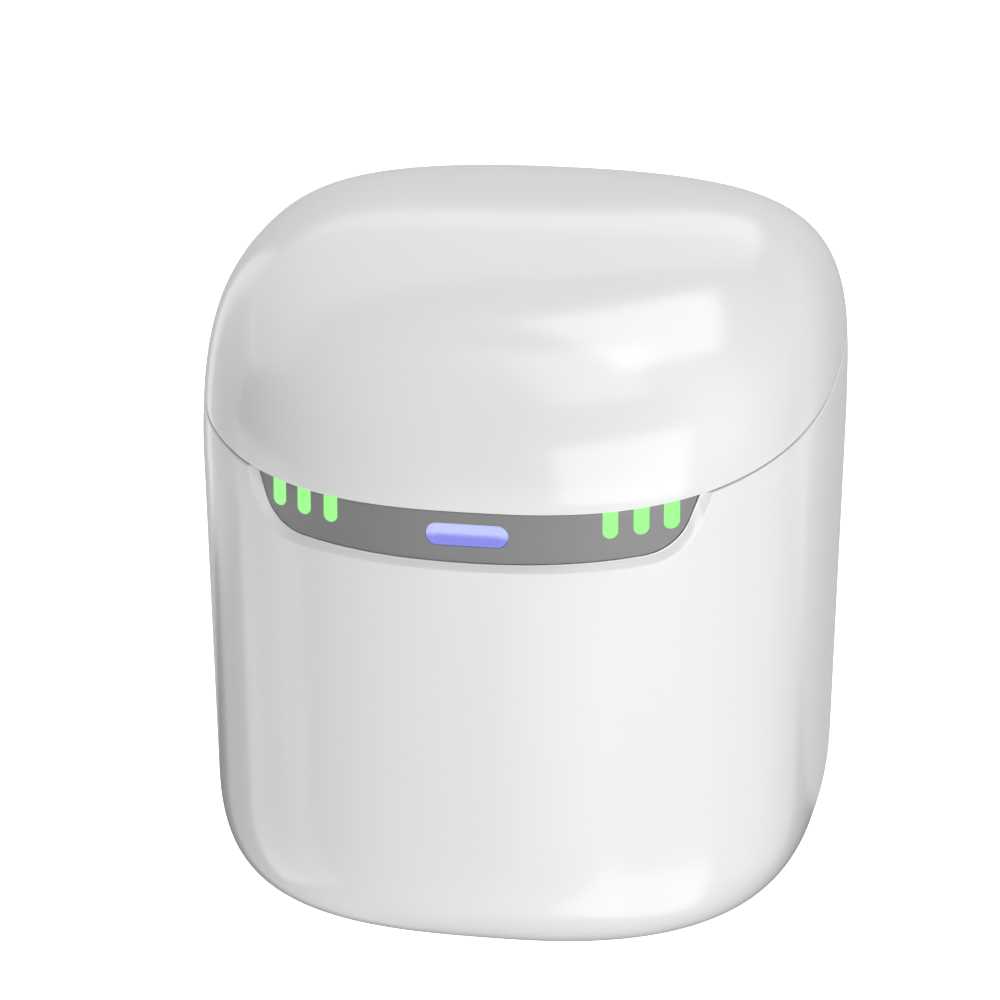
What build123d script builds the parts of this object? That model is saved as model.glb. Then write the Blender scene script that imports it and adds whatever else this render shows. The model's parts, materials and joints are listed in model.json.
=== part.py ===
from build123d import *
from math import cos, radians, sin, sqrt, tan
import os

# A desk-top dryer and charger for a pair of hearing aids, in millimetres.
# +Z is up, the front (with the button) faces -Y, and the origin is the centre of the foot on the desk.

os.makedirs("parts", exist_ok=True)

# ---------------------------------------------------------------- outer form
body_width = 88.0
body_depth = 92.0
total_height = 95.5
plan_power = 2.65             # 2 is an ellipse, higher is squarer
foot_height = 0.7             # gap between the shell and the desk
narrowing = 1.6               # how much each side leans in from the parting down to the desk
base_round_width = 14.5
base_round_height = 18.0
base_round_power = 2.9
dome_below_parting = 2.0      # the dome starts this far under the front parting height
dome_power_x = 4.1            # fullness of the dome from side to side
dome_power_y = 2.5            # fullness of the dome from front to back
crown_power = 1.8             # plan power at the very top of the dome
crown_setback = 8.8           # how far the dome's top lies behind the middle
crown_flat = 0.05             # height left off the very top as a flat

# how finely the form is sampled
spline_steps = 6
dome_steps = 12
dome_spread = 2.6
low_shares = (0, 0.03, 0.08, 0.16, 0.28, 0.45, 0.7, 1)

# ---------------------------------------------------------------- parting line and walls
parting_front = 65.0
parting_rise = 12.56          # height gained from the front to the back
parting_gap = 0.3
shell_wall = 2.2
liner_gap = 0.3
liner_wall = 1.2
seal_width = 1.8
seal_height = 1.9
collar_gap = 0.4
collar_wall = 1.5

# ---------------------------------------------------------------- clearances
fit_gap = 0.1                 # a piece that drops into its seat
slide_gap = 0.1               # the button in the panel
running_gap = 0.04            # a shaft in its bore
thread_gap = 0.05             # a screw in its pilot hole

# ---------------------------------------------------------------- hinge
hinge_setback = 0.2           # pin axis behind the back of the shell
barrel_radius = 2.2
pin_radius = 1.0
lid_knuckle_length = 20.0
body_knuckle_length = 7.0
knuckle_gap = 0.3
web_angle = 30.0              # the body's web leaves the barrel this far below level
web_height = 8.8              # height of the web under the hinge axis

# ---------------------------------------------------------------- front panel
recess_depth = 0.85
panel_thickness = 1.6
panel_gap = 0.12
panel_foot = 57.85            # lowest point of the panel's outline
panel_foot_radius = 191.0
panel_half_width = 29.75      # at the reference height
panel_reference = 66.65
panel_lean = 20.3
panel_corner = 6.7
bevel_foot = 56.9
bevel_foot_radius = 240.0
bevel_half_width = 31.45
bevel_lean = 16.5
bevel_corner = 8.0
button_height = 61.75
button_length = 11.0
button_tall = 2.9
button_travel = 0.5
button_dish_depth = 0.4
button_dish_length = 9.4
button_dish_tall = 1.3
button_dish_drop = 0.35
bar_places = (18.8, 22.7, 26.45)
bar_tips = (61.8, 62.2, 62.65)
bar_width = 1.95
bar_gap = 0.04
carrier_depth = 1.2
carrier_tall = 1.6

# ---------------------------------------------------------------- deck and charging bays
deck_top = 60.0
deck_thickness = 2.0
shelf_drop = 0.4              # shelf top below the front parting height
shelf_thickness = 1.0
step_wall_setback = 10.6         # behind the front of the form
step_wall_thickness = 1.2
step_wall_foot = 50.0
bay_x = 20.5
bay_y = 2.0
cradle_length = 48.0
cradle_width = 19.0
cradle_depth = 13.4
cradle_flange = 1.2
cradle_rim_height = 1.2
cradle_wall = 1.5
dish_depth = 5.5
slot_length = 31.0
slot_width = 11.0
slot_depth = 12.8
ear_mark_radius = 1.4
ear_mark_height = 0.4
ear_mark_gap = 1.9               # between a cradle's flange and its ear mark
deck_post_inset = 10.5           # deck posts in from the sides of the form
deck_post_y = 20.0
deck_post_radius = 2.6

# ---------------------------------------------------------------- warm air tower and UV window
tower_length = 44.0
tower_width = 16.8
tower_height = 6.0
tower_wall = 1.2
tower_roof = 1.6
tower_corner = 4.0
tower_edge = 1.0
tower_slots = 11
tower_slot_pitch = 3.2
tower_slot_width = 1.5
tower_slot_height = 2.6
window_length = 22.0
window_width = 11.0
window_thickness = 1.0
window_lip = 1.0
uvc_board_length = 24.0
uvc_board_width = 9.0
uvc_board_thickness = 1.0
uvc_led_size = 3.5
uvc_led_height = 1.2
uvc_led_pitch = 7.0
air_hole_length = 38.0
air_hole_width = 13.6
air_hole_bridge = 5.0

# ---------------------------------------------------------------- base
floor_thickness = 3.0
floor_lip = 2.7               # shell rim left around the base plate
ledge_width = 2.5
plate_recess = 0.2            # base plate above the shell's lower rim
plate_thickness = 1.6
pad_margin = 7.8              # base plate left bare around the foot pad
base_screw_x = 20.5
base_screw_y = 22.0
screw_radius = 1.0
screw_head_radius = 2.0
screw_head_height = 1.0
screw_cross_length = 2.2
screw_cross_width = 0.44
screw_cross_depth = 0.5
base_screw_length = 11.0
small_screw_length = 6.0

# ---------------------------------------------------------------- boards
board_height = 9.0            # underside of the main board
board_thickness = 1.6
board_inset = 10.0
board_tongue_setback = 3.9       # end of the board's tongue behind the socket's mouth
board_tongue_width = 16.0
standoff_x = 10.0
standoff_y = 26.5
standoff_radius = 2.4
post_clearance = 0.4
usb_width = 8.94
usb_height = 3.26
usb_length = 7.4
usb_mouth_setback = 2.6          # socket's mouth in from the back of the form
usb_wall = 0.35
usb_tongue_thickness = 0.7
usb_hole_gap = 0.35
usb_recess_margin = 1.6
usb_recess_depth = 0.6
light_board_height = 15.0
light_board_edge = 2.05          # board past the middle of the outer light
light_board_thickness = 1.0
led_width = 1.6
led_height = 1.2
led_depth = 0.8
switch_width = 4.4
switch_tall = 3.4
switch_depth = 3.2
plunger_radius = 0.9
plunger_out = 0.8             # plunger standing out of the switch
plunger_in = 0.6
flange_thickness = 0.8
flange_margin_x = 1.1
flange_margin_up = 0.35
flange_margin_down = 0.9
stem_radius = 1.4
ribbon_width = 8.0
ribbon_thickness = 0.3
ribbon_bend = 3.0
ribbon_setback = 10.4            # ribbon's drop behind the step wall's front

# ---------------------------------------------------------------- chassis, duct, heater and fan
chassis_level = 18.0
chassis_thickness = 1.6
chassis_inset = 3.4
chassis_pad_radius = 6.6
chassis_pad_height = 1.5
base_post_radius = 3.0
post_foot_radius = 3.1        # thicker lower part of a deck post
side_window_inset = 15.7         # middle of a side window in from the side of the form
side_window_width = 9.0
side_window_length = 22.0
rear_window_inset = 16.0
rear_window_width = 24.0
rear_window_length = 10.0
window_corner = 2.0
fan_size = 30.0
fan_depth = 10.0
fan_corner = 2.0
fan_bore_radius = 14.2
fan_tip_gap = 0.5
hub_radius = 6.5
hub_wall = 0.8
fan_floor = 1.2
blade_count = 7
blade_chord = 7.0
blade_thickness = 0.9
blade_pitch = 38.0
shaft_radius = 1.0
bearing_radius = 1.9
bearing_length = 5.4
bearing_tube_radius = 2.8
stator_radius = 5.2
stator_height = 4.2
stator_core_gap = 0.1
stator_slot_length = 1.6
stator_slot_width = 0.9
stator_slot_place = 5.0       # middle of each winding slot from the shaft
heater_depth = 5.0
heater_fins = 11
heater_rows = 3
heater_frame = 1.5
heater_fin = 0.8
duct_wall = 1.3
duct_fit = 0.3
duct_top_width = 16.4
duct_top_length = 42.0
duct_taper_start = 37.0
duct_taper_end = 43.0
bracket_level = 43.5
bracket_thickness = 1.5
bracket_edge = 2.8               # bracket past the middle of the deck posts
bracket_length = 47.0
coil_radius = 8.2
coil_bore = 3.4
coil_height = 1.0
shield_radius = 9.0
shield_height = 0.6

# ---------------------------------------------------------------- rear air intake and magnets
intake_slots = 9
intake_pitch = 3.4
intake_slot_width = 1.5
intake_slot_height = 13.0
intake_level = 31.0
filter_width = 33.0
filter_height = 17.0
filter_thickness = 1.4
filter_setback = 6.6             # in from the back of the form
magnet_x = 12.0
magnet_setback = 1.038           # middle of a body magnet behind the lining's front
magnet_length = 6.0
magnet_width = 2.0
magnet_height = 2.4
magnet_wall = 0.9

# ---------------------------------------------------------------- sizes that follow
half_width = body_width / 2
half_depth = body_depth / 2
dome_start = parting_front - dome_below_parting
parting_back = parting_front + parting_rise
parting_radius = (body_depth**2 + parting_rise**2) / (2 * parting_rise)
parting_centre = parting_back - parting_radius
floor_top = foot_height + floor_thickness
plate_bottom = foot_height + plate_recess
plate_top = plate_bottom + plate_thickness
panel_back = recess_depth + panel_thickness
collar_inset = shell_wall + collar_gap
collar_inner = collar_inset + collar_wall
liner_inset = shell_wall + liner_gap
liner_inner = liner_inset + liner_wall
seal_inset = shell_wall + fit_gap
deck_bottom = deck_top - deck_thickness
shelf_top = parting_front - shelf_drop
shelf_bottom = shelf_top - shelf_thickness
step_wall_front = step_wall_setback - half_depth
step_wall_back = step_wall_front + step_wall_thickness
board_top = board_height + board_thickness
usb_mouth_y = half_depth - usb_mouth_setback
board_tongue_end = usb_mouth_y - board_tongue_setback
filter_front = half_depth - filter_setback
ear_mark_y = bay_y - cradle_length / 2 - cradle_flange - ear_mark_gap - ear_mark_radius
deck_post_x = half_width - deck_post_inset
bracket_half_width = deck_post_x + bracket_edge
side_window_x = half_width - side_window_inset
rear_window_y = half_depth - rear_window_inset
ribbon_window_y = step_wall_front + ribbon_setback
liner_foot = parting_gap / 2 + seal_height + fit_gap
fan_bottom = chassis_level + chassis_thickness
fan_top = fan_bottom + fan_depth
heater_top = fan_top + heater_depth
duct_foot_size = fan_size + 2 * duct_fit + 2 * duct_wall
tower_top = deck_top + tower_height
button_face = -(half_depth - recess_depth)
light_board_front = step_wall_front - light_board_thickness
light_board_width = 2 * (bar_places[-1] + light_board_edge)
light_board_top = shelf_bottom - 2 * fit_gap
light_board_foot = light_board_top - light_board_height
switch_front = light_board_front - switch_depth
plunger_front = switch_front - plunger_out
flange_front = -(half_depth - panel_back) + 2 * slide_gap + fit_gap
flange_back = flange_front + flange_thickness


def half_sizes(height, inset):
    """Half width, half depth, middle and plan power of the outer form at a height, moved in by a wall."""
    top = total_height - inset
    rise = min(max((height - dome_start) / (top - dome_start), 0), 1)
    across = (1 - rise**dome_power_x) ** (1 / dome_power_x)
    along = (1 - rise**dome_power_y) ** (1 / dome_power_y)
    lean = narrowing * max(0, parting_front - height) / parting_front
    low = max(0, (base_round_height - height) / base_round_height)
    tuck = base_round_width * (1 - (1 - low**base_round_power) ** (1 / base_round_power))
    half_x = (half_width - lean - tuck - inset) * across
    half_y = (half_depth - lean - tuck - inset) * along
    power = plan_power * across + crown_power * (1 - across)
    return half_x, half_y, crown_setback * rise**2, power


def front_beside(level, inset, aside):
    """Depth of the form's front face at a level, some way aside from its middle."""
    half_x, half_y, middle, power = half_sizes(level, inset)
    return middle - half_y * (1 - (aside / half_x) ** power) ** (1 / power)


def plan_face(level, inset):
    """The squared plan of the form at a level, in four curves that meet on its axes."""
    half_x, half_y, middle, power = half_sizes(level, inset)
    with BuildSketch(Plane.XY.offset(level)) as face:
        with BuildLine():
            for quarter in range(4):
                points = []
                for step in range(spline_steps + 1):
                    turn = radians(90 * (quarter + step / spline_steps))
                    reach = (abs(cos(turn)) ** power + abs(sin(turn)) ** power) ** (-1 / power)
                    points.append((half_x * reach * cos(turn), middle + half_y * reach * sin(turn)))
                Spline(*points)
        make_face()
    return face.sketch


def form(bottom, inset, top):
    """A solid of the outer form between two heights, moved in by a wall.

    It has up to three bands: the rounding at the desk, the leaning sides and the dome."""
    crown = total_height - crown_flat - inset
    top = min(top, crown)
    low_levels = [bottom + (base_round_height - bottom) * share for share in low_shares]
    side_levels = (max(bottom, base_round_height), dome_start)
    dome_levels = []
    for step in range(dome_steps + 1):
        share = (1 - cos(radians(90 * step / dome_steps)) ** dome_spread) ** (1 / dome_spread)
        dome_levels.append(dome_start + (crown - dome_start) * share)
    dome_levels = [level for level in dome_levels if level < top] + [top]
    with BuildPart() as solid:
        if bottom < base_round_height:
            loft([plan_face(level, inset) for level in low_levels])
        if bottom < dome_start:
            loft([plan_face(level, inset) for level in side_levels], ruled=True)
        loft([plan_face(level, inset) for level in dome_levels])
    return solid.part


def plan_prism(level, inset, bottom, top):
    """An upright prism on the plan that the form has at one level."""
    face = plan_face(level, inset)
    with BuildPart() as solid:
        extrude(face.moved(Location((0, 0, bottom - level))), amount=top - bottom)
    return solid.part


def parting_height(y, lift):
    """Height of the parting surface at a depth, lifted square to itself."""
    return parting_centre + sqrt((parting_radius + lift) ** 2 - (y - half_depth) ** 2)


def under_parting(lift):
    """Everything below the parting surface, as a block wider than the object."""
    reach = body_width
    with BuildPart() as solid:
        with BuildSketch(Plane.YZ):
            with BuildLine():
                ends = [(y, parting_height(y, lift)) for y in (-reach, half_depth, reach)]
                ThreePointArc(*ends)
                Polyline(ends[2], (reach, -reach), (-reach, -reach), ends[0])
            make_face()
        extrude(amount=reach, both=True)
    return solid.part


def front_prism(foot, foot_radius, half_top, lean, corner, margin):
    """The cup-shaped outline seen from the front, grown by a margin and carried into the body."""
    slope = tan(radians(lean))
    bottom = foot - margin
    half_bottom = half_top + margin / cos(radians(lean)) - slope * (panel_reference - bottom)
    sag = half_bottom**2 / (2 * foot_radius)
    half_corner = half_bottom + slope * sag
    half_open = half_bottom + slope * (total_height - bottom)
    with BuildPart() as solid:
        with BuildSketch(Plane.XZ.offset(half_depth + 1)) as outline:
            with BuildLine():
                low_right = (half_corner, bottom + sag)
                low_left = (-half_corner, bottom + sag)
                ThreePointArc(low_left, (0, bottom), low_right)
                Polyline(low_right, (half_open, total_height), (-half_open, total_height), low_left)
            make_face()
            fillet(outline.vertices().group_by(Axis.Y)[0], corner)
        extrude(amount=-half_depth / 2)
    return solid.part


def save(piece, name):
    """Labels a finished piece and writes its file."""
    piece.part.label = name
    export_step(piece.part, f"parts/{name}.step")


# ---------------------------------------------------------------- shared forms
rim_reach = parting_back + 2 * parting_gap       # higher than the body's rim at any place
front_reach = parting_front + 4 * parting_gap     # higher than the front panel
front_start = step_wall_foot
below_gap = under_parting(-parting_gap / 2)
above_gap = under_parting(parting_gap / 2)
hinge_y = half_sizes(parting_back, 0)[1] + half_sizes(parting_back, 0)[2] + hinge_setback
hinge_z = parting_back
hinge_axis = Plane(origin=(0, hinge_y, hinge_z), x_dir=(0, 1, 0), z_dir=(1, 0, 0))
body_knuckle_x = lid_knuckle_length / 2 + knuckle_gap + body_knuckle_length / 2
hinge_span = body_knuckle_x + body_knuckle_length / 2
bay_places = [(-bay_x, bay_y), (bay_x, bay_y)]
deck_post_places = [(x, y) for x in (-deck_post_x, deck_post_x) for y in (-deck_post_y, deck_post_y)]
base_screw_places = [(x, y) for x in (-base_screw_x, base_screw_x) for y in (-base_screw_y, base_screw_y)]
standoff_places = [(x, y) for x in (-standoff_x, standoff_x) for y in (-standoff_y, standoff_y)]
usb_middle = board_top + usb_height / 2
magnet_side = magnet_x + magnet_length / 2
liner_front = front_beside(parting_front, liner_inset, magnet_side)
magnet_level = parting_height(liner_front, liner_foot) + magnet_height
magnet_y = front_beside(magnet_level, liner_inset, magnet_side) + magnet_setback

# ---------------------------------------------------------------- body shell
panel_space = front_prism(
    panel_foot, panel_foot_radius, panel_half_width, panel_lean, panel_corner, 0)
bevel_space = front_prism(
    bevel_foot, bevel_foot_radius, bevel_half_width, bevel_lean, bevel_corner, 0)
bevel_form = form(front_start, recess_depth, front_reach)

with BuildPart() as bevel_cut:
    add(bevel_space)
    add(bevel_form, mode=Mode.SUBTRACT)

with BuildPart() as body_shell:
    add(form(foot_height, 0, rim_reach))
    add(form(floor_top, shell_wall, rim_reach), mode=Mode.SUBTRACT)
    add(below_gap, mode=Mode.INTERSECT)
    add(plan_prism(foot_height, floor_lip + ledge_width, 0, floor_top + fit_gap), mode=Mode.SUBTRACT)
    add(plan_prism(foot_height, floor_lip, 0, plate_top + fit_gap), mode=Mode.SUBTRACT)
    add(bevel_cut.part, mode=Mode.SUBTRACT)
    add(panel_space, mode=Mode.SUBTRACT)
    # hinge knuckles with their webs
    for side in (-1, 1):
        with BuildSketch(Plane.YZ.offset(side * body_knuckle_x)):
            with Locations((hinge_y, hinge_z)):
                Circle(barrel_radius)
            with BuildLine():
                web_front = hinge_y - barrel_radius - parting_gap * 2
                web_foot = hinge_z - web_height
                web_out = barrel_radius * cos(radians(web_angle))
                web_down = barrel_radius * sin(radians(web_angle))
                Polyline(
                    (web_front, hinge_z - parting_gap / 2),
                    (hinge_y, hinge_z - parting_gap / 2),
                    (hinge_y + web_out, hinge_z - web_down),
                    (hinge_y, web_foot),
                    (hinge_y - barrel_radius / 2, web_foot),
                    close=True)
            make_face()
        extrude(amount=body_knuckle_length / 2, both=True)
    # room for the lid's knuckle, and the pin's bore
    with BuildSketch(hinge_axis):
        Circle(barrel_radius + knuckle_gap)
    extrude(amount=lid_knuckle_length / 2 + knuckle_gap, both=True, mode=Mode.SUBTRACT)
    with BuildSketch(hinge_axis):
        Circle(pin_radius)
    extrude(amount=hinge_span, both=True, mode=Mode.SUBTRACT)
    # charging socket
    with BuildSketch(Plane.XZ.offset(-half_depth + shell_wall * 2)):
        with Locations((0, usb_middle)):
            SlotOverall(usb_width + 2 * usb_hole_gap, usb_height + 2 * usb_hole_gap)
    extrude(amount=-shell_wall * 3, mode=Mode.SUBTRACT)
    usb_wall_y = half_sizes(usb_middle, 0)[1]
    with BuildSketch(Plane.XZ.offset(-usb_wall_y + usb_recess_depth)):
        with Locations((0, usb_middle)):
            SlotOverall(usb_width + 2 * usb_recess_margin, usb_height + 2 * usb_recess_margin)
    extrude(amount=-shell_wall * 3, mode=Mode.SUBTRACT)
    # rear air intake
    with BuildSketch(Plane.XZ.offset(-half_depth + shell_wall * 3)):
        with Locations((0, intake_level)):
            with GridLocations(intake_pitch, 1, intake_slots, 1):
                SlotOverall(intake_slot_height, intake_slot_width, rotation=90)
    extrude(amount=-shell_wall * 4, mode=Mode.SUBTRACT)
save(body_shell, "body_shell")

# ---------------------------------------------------------------- base
with BuildPart() as base_plate:
    add(plan_prism(foot_height, floor_lip + fit_gap, plate_bottom, plate_top))
    with BuildSketch(Plane.XY.offset(plate_top)):
        with Locations(*standoff_places):
            Circle(standoff_radius)
    extrude(amount=board_height - plate_top)
    with BuildSketch(Plane.XY.offset(plate_top)):
        with Locations(*standoff_places):
            Circle(screw_radius + thread_gap)
    extrude(amount=board_height - plate_top, mode=Mode.SUBTRACT)
    with BuildSketch(Plane.XY.offset(plate_bottom)):
        with Locations(*base_screw_places):
            Circle(screw_radius + fit_gap)
    extrude(amount=plate_thickness, mode=Mode.SUBTRACT)
    with BuildSketch(Plane.XY.offset(plate_bottom)):
        with Locations(*base_screw_places):
            Circle(screw_head_radius + fit_gap)
    extrude(amount=screw_head_height, mode=Mode.SUBTRACT)
save(base_plate, "base_plate")

with BuildPart() as foot_pad:
    add(plan_prism(foot_height, floor_lip + pad_margin, 0, plate_bottom))
save(foot_pad, "foot_pad")


def screws(places, top, length, head_radius, head_height, head_up):
    """Cross-headed screws standing at the given places, with heads at the top or the bottom."""
    head_foot = top - head_height if head_up else top
    shank_foot = head_foot - length if head_up else head_foot + head_height
    cross_foot = head_foot + head_height - screw_cross_depth if head_up else head_foot
    with BuildPart() as group:
        with BuildSketch(Plane.XY.offset(head_foot)):
            with Locations(*places):
                Circle(head_radius)
        extrude(amount=head_height)
        with BuildSketch(Plane.XY.offset(shank_foot)):
            with Locations(*places):
                Circle(screw_radius)
        extrude(amount=length)
        with BuildSketch(Plane.XY.offset(cross_foot)):
            with Locations(*places):
                Rectangle(screw_cross_length, screw_cross_width)
                Rectangle(screw_cross_width, screw_cross_length)
        extrude(amount=screw_cross_depth, mode=Mode.SUBTRACT)
    return group


base_screws = screws(
    base_screw_places, plate_bottom, base_screw_length, screw_head_radius, screw_head_height, False)
save(base_screws, "base_screws")

# ---------------------------------------------------------------- main board
with BuildPart() as main_board:
    add(plan_prism(base_round_height, board_inset, board_height, board_top))
    with BuildSketch(Plane.XY.offset(board_height)):
        with Locations((0, board_tongue_end / 2)):
            Rectangle(board_tongue_width, board_tongue_end)
    extrude(amount=board_thickness)
    with BuildSketch(Plane.XY.offset(board_height)):
        with Locations(*base_screw_places):
            Circle(base_post_radius + post_clearance)
        with Locations(*standoff_places):
            Circle(screw_radius + fit_gap)
    extrude(amount=board_thickness, mode=Mode.SUBTRACT)
save(main_board, "main_board")

board_screws = screws(
    standoff_places, board_top + screw_head_height, small_screw_length,
    screw_head_radius, screw_head_height, True)
save(board_screws, "board_screws")

# middle, length, width and height of each chip, then middle, radius and height of each capacitor
chip_places = ((0, 6, 7, 7, 1.2), (-12, 8, 5, 5, 1.0), (12, 8, 5, 5, 1.0), (0, -10, 4, 6, 1.4),
               (-22, -4, 6, 6, 3.0), (22, -4, 6, 6, 3.0), (16, -14, 3, 4, 1.2), (-16, -14, 3, 4, 1.2),
               (-8, 22, 3, 2, 1.1), (8, 22, 3, 2, 1.1), (0, -27, 9, 4, 2.6), (25, 8, 4, 7, 2.6))
capacitor_places = ((-26, 8, 2.6, 4.8), (-12, -4, 2.0, 4.2), (12, -4, 2.0, 4.2))
with BuildPart() as board_components:
    for x, y, length, width, height in chip_places:
        with BuildSketch(Plane.XY.offset(board_top)):
            with Locations((x, y)):
                Rectangle(length, width)
        extrude(amount=height)
    for x, y, radius, height in capacitor_places:
        with BuildSketch(Plane.XY.offset(board_top)):
            with Locations((x, y)):
                Circle(radius)
        extrude(amount=height)
save(board_components, "board_components")

with BuildPart() as usb_socket:
    with BuildSketch(Plane.XZ.offset(-usb_mouth_y)):
        with Locations((0, usb_middle)):
            SlotOverall(usb_width, usb_height)
    extrude(amount=usb_length)
    with BuildSketch(Plane.XZ.offset(-usb_mouth_y)):
        with Locations((0, usb_middle)):
            SlotOverall(usb_width - 2 * usb_wall, usb_height - 2 * usb_wall)
    extrude(amount=usb_length - usb_wall * 3, mode=Mode.SUBTRACT)
    with BuildSketch(Plane.XZ.offset(-usb_mouth_y + usb_length - usb_wall * 3)):
        with Locations((0, usb_middle)):
            Rectangle(usb_width - usb_height, usb_tongue_thickness)
    extrude(amount=-usb_length + usb_wall * 5)
save(usb_socket, "usb_socket")

# ---------------------------------------------------------------- chassis
with BuildPart() as chassis:
    add(plan_prism(chassis_level, shell_wall + chassis_inset, chassis_level, fan_bottom))
    # feet that clamp the shell's floor, and the posts for the base screws
    with BuildSketch(Plane.XY.offset(floor_top + fit_gap / 2)):
        with Locations(*base_screw_places):
            Circle(chassis_pad_radius)
    extrude(amount=chassis_pad_height)
    with BuildSketch(Plane.XY.offset(plate_top)):
        with Locations(*base_screw_places):
            Circle(base_post_radius)
    extrude(amount=chassis_level - plate_top)
    # posts that carry the coil bracket and the deck
    with BuildSketch(Plane.XY.offset(fan_bottom)):
        with Locations(*deck_post_places):
            Circle(post_foot_radius)
    extrude(amount=bracket_level - fan_bottom)
    with BuildSketch(Plane.XY.offset(bracket_level)):
        with Locations(*deck_post_places):
            Circle(deck_post_radius)
    extrude(amount=deck_bottom - bracket_level)
    # rim that seats the duct
    with BuildSketch(Plane.XY.offset(fan_bottom)):
        with Locations((0, bay_y)):
            RectangleRounded(duct_foot_size + 2 * duct_wall, duct_foot_size + 2 * duct_wall, duct_wall * 2)
            Rectangle(duct_foot_size + 2 * fit_gap, duct_foot_size + 2 * fit_gap, mode=Mode.SUBTRACT)
    extrude(amount=duct_wall * 2)
    # air hole under the fan, and the windows that let air and cables through the plate
    with BuildSketch(Plane.XY.offset(chassis_level)):
        with Locations((0, bay_y)):
            Circle(fan_bore_radius - fan_tip_gap)
        with Locations((-side_window_x, 0), (side_window_x, 0)):
            RectangleRounded(side_window_width, side_window_length, window_corner)
        with Locations((0, rear_window_y)):
            RectangleRounded(rear_window_width, rear_window_length, window_corner)
        with Locations((0, ribbon_window_y)):
            RectangleRounded(2.5 * ribbon_width, ribbon_width, window_corner)
    extrude(amount=chassis_thickness, mode=Mode.SUBTRACT)
    # pilot holes
    with BuildSketch(Plane.XY.offset(plate_top)):
        with Locations(*base_screw_places):
            Circle(screw_radius + thread_gap)
    extrude(amount=base_screw_length, mode=Mode.SUBTRACT)
    with BuildSketch(Plane.XY.offset(deck_bottom)):
        with Locations(*deck_post_places):
            Circle(screw_radius + thread_gap)
    extrude(amount=-small_screw_length, mode=Mode.SUBTRACT)
save(chassis, "chassis")

# ---------------------------------------------------------------- fan
fan_plane = Plane.XY.offset(fan_bottom)
rotor_foot = fan_bottom + fan_floor + fan_tip_gap
rotor_top = fan_top - fan_tip_gap
bearing_foot = fan_bottom + fan_floor
with BuildPart() as fan_housing:
    with BuildSketch(fan_plane):
        with Locations((0, bay_y)):
            RectangleRounded(fan_size, fan_size, fan_corner)
            Circle(fan_bore_radius, mode=Mode.SUBTRACT)
    extrude(amount=fan_depth)
    with BuildSketch(fan_plane):
        with Locations((0, bay_y)):
            Circle(hub_radius)
            with PolarLocations(0, 3, start_angle=30):
                with Locations((fan_bore_radius / 2 + fan_tip_gap, 0)):
                    Rectangle(fan_bore_radius + fan_tip_gap, bearing_radius)
    extrude(amount=fan_floor)
    with BuildSketch(fan_plane):
        with Locations((0, bay_y)):
            Circle(bearing_tube_radius)
    extrude(amount=fan_floor + bearing_length)
    with BuildSketch(Plane.XY.offset(bearing_foot)):
        with Locations((0, bay_y)):
            Circle(bearing_radius)
    extrude(amount=bearing_length, mode=Mode.SUBTRACT)
save(fan_housing, "fan_housing")

with BuildPart() as fan_bearing:
    with BuildSketch(Plane.XY.offset(bearing_foot)):
        with Locations((0, bay_y)):
            Circle(bearing_radius)
            Circle(shaft_radius + running_gap, mode=Mode.SUBTRACT)
    extrude(amount=bearing_length)
save(fan_bearing, "fan_bearing")

with BuildPart() as fan_stator:
    with BuildSketch(Plane.XY.offset(bearing_foot + stator_core_gap)):
        with Locations((0, bay_y)):
            Circle(stator_radius)
            Circle(bearing_tube_radius, mode=Mode.SUBTRACT)
            with PolarLocations(stator_slot_place, 4, start_angle=45):
                Rectangle(stator_slot_length, stator_slot_width, mode=Mode.SUBTRACT)
    extrude(amount=stator_height)
save(fan_stator, "fan_stator")

with BuildPart() as fan_rotor:
    with BuildSketch(Plane.XY.offset(rotor_top)):
        with Locations((0, bay_y)):
            Circle(hub_radius)
    extrude(amount=-(rotor_top - rotor_foot))
    with BuildSketch(Plane.XY.offset(rotor_foot)):
        with Locations((0, bay_y)):
            Circle(hub_radius - hub_wall)
    extrude(amount=rotor_top - rotor_foot - hub_wall, mode=Mode.SUBTRACT)
    blade_reach = fan_bore_radius - fan_tip_gap - hub_radius + hub_wall / 2
    blade_middle = hub_radius - hub_wall / 2 + blade_reach / 2
    for blade in range(blade_count):
        turn = 360 / blade_count * blade
        outward = Vector(1, 0, 0).rotate(Axis.Z, turn)
        chord_line = Vector(0, cos(radians(blade_pitch)), sin(radians(blade_pitch))).rotate(Axis.Z, turn)
        seat = Vector(0, bay_y, (rotor_foot + rotor_top) / 2) + outward * (hub_radius - hub_wall / 2)
        with BuildSketch(Plane(origin=seat, x_dir=chord_line, z_dir=outward)):
            SlotOverall(blade_chord, blade_thickness)
        extrude(amount=blade_reach)
    with BuildSketch(Plane.XY.offset(rotor_foot - fan_tip_gap)):
        with Locations((0, bay_y)):
            Circle(fan_bore_radius * 2)
            Circle(fan_bore_radius - fan_tip_gap, mode=Mode.SUBTRACT)
    extrude(amount=fan_depth, mode=Mode.SUBTRACT)
    with BuildSketch(Plane.XY.offset(rotor_foot)):
        with Locations((0, bay_y)):
            Circle(shaft_radius)
    extrude(amount=fan_depth, mode=Mode.SUBTRACT)
save(fan_rotor, "fan_rotor")

with BuildPart() as fan_shaft:
    with BuildSketch(Plane.XY.offset(bearing_foot + fan_tip_gap)):
        with Locations((0, bay_y)):
            Circle(shaft_radius)
    extrude(amount=rotor_top - bearing_foot - fan_tip_gap)
save(fan_shaft, "fan_shaft")

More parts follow.
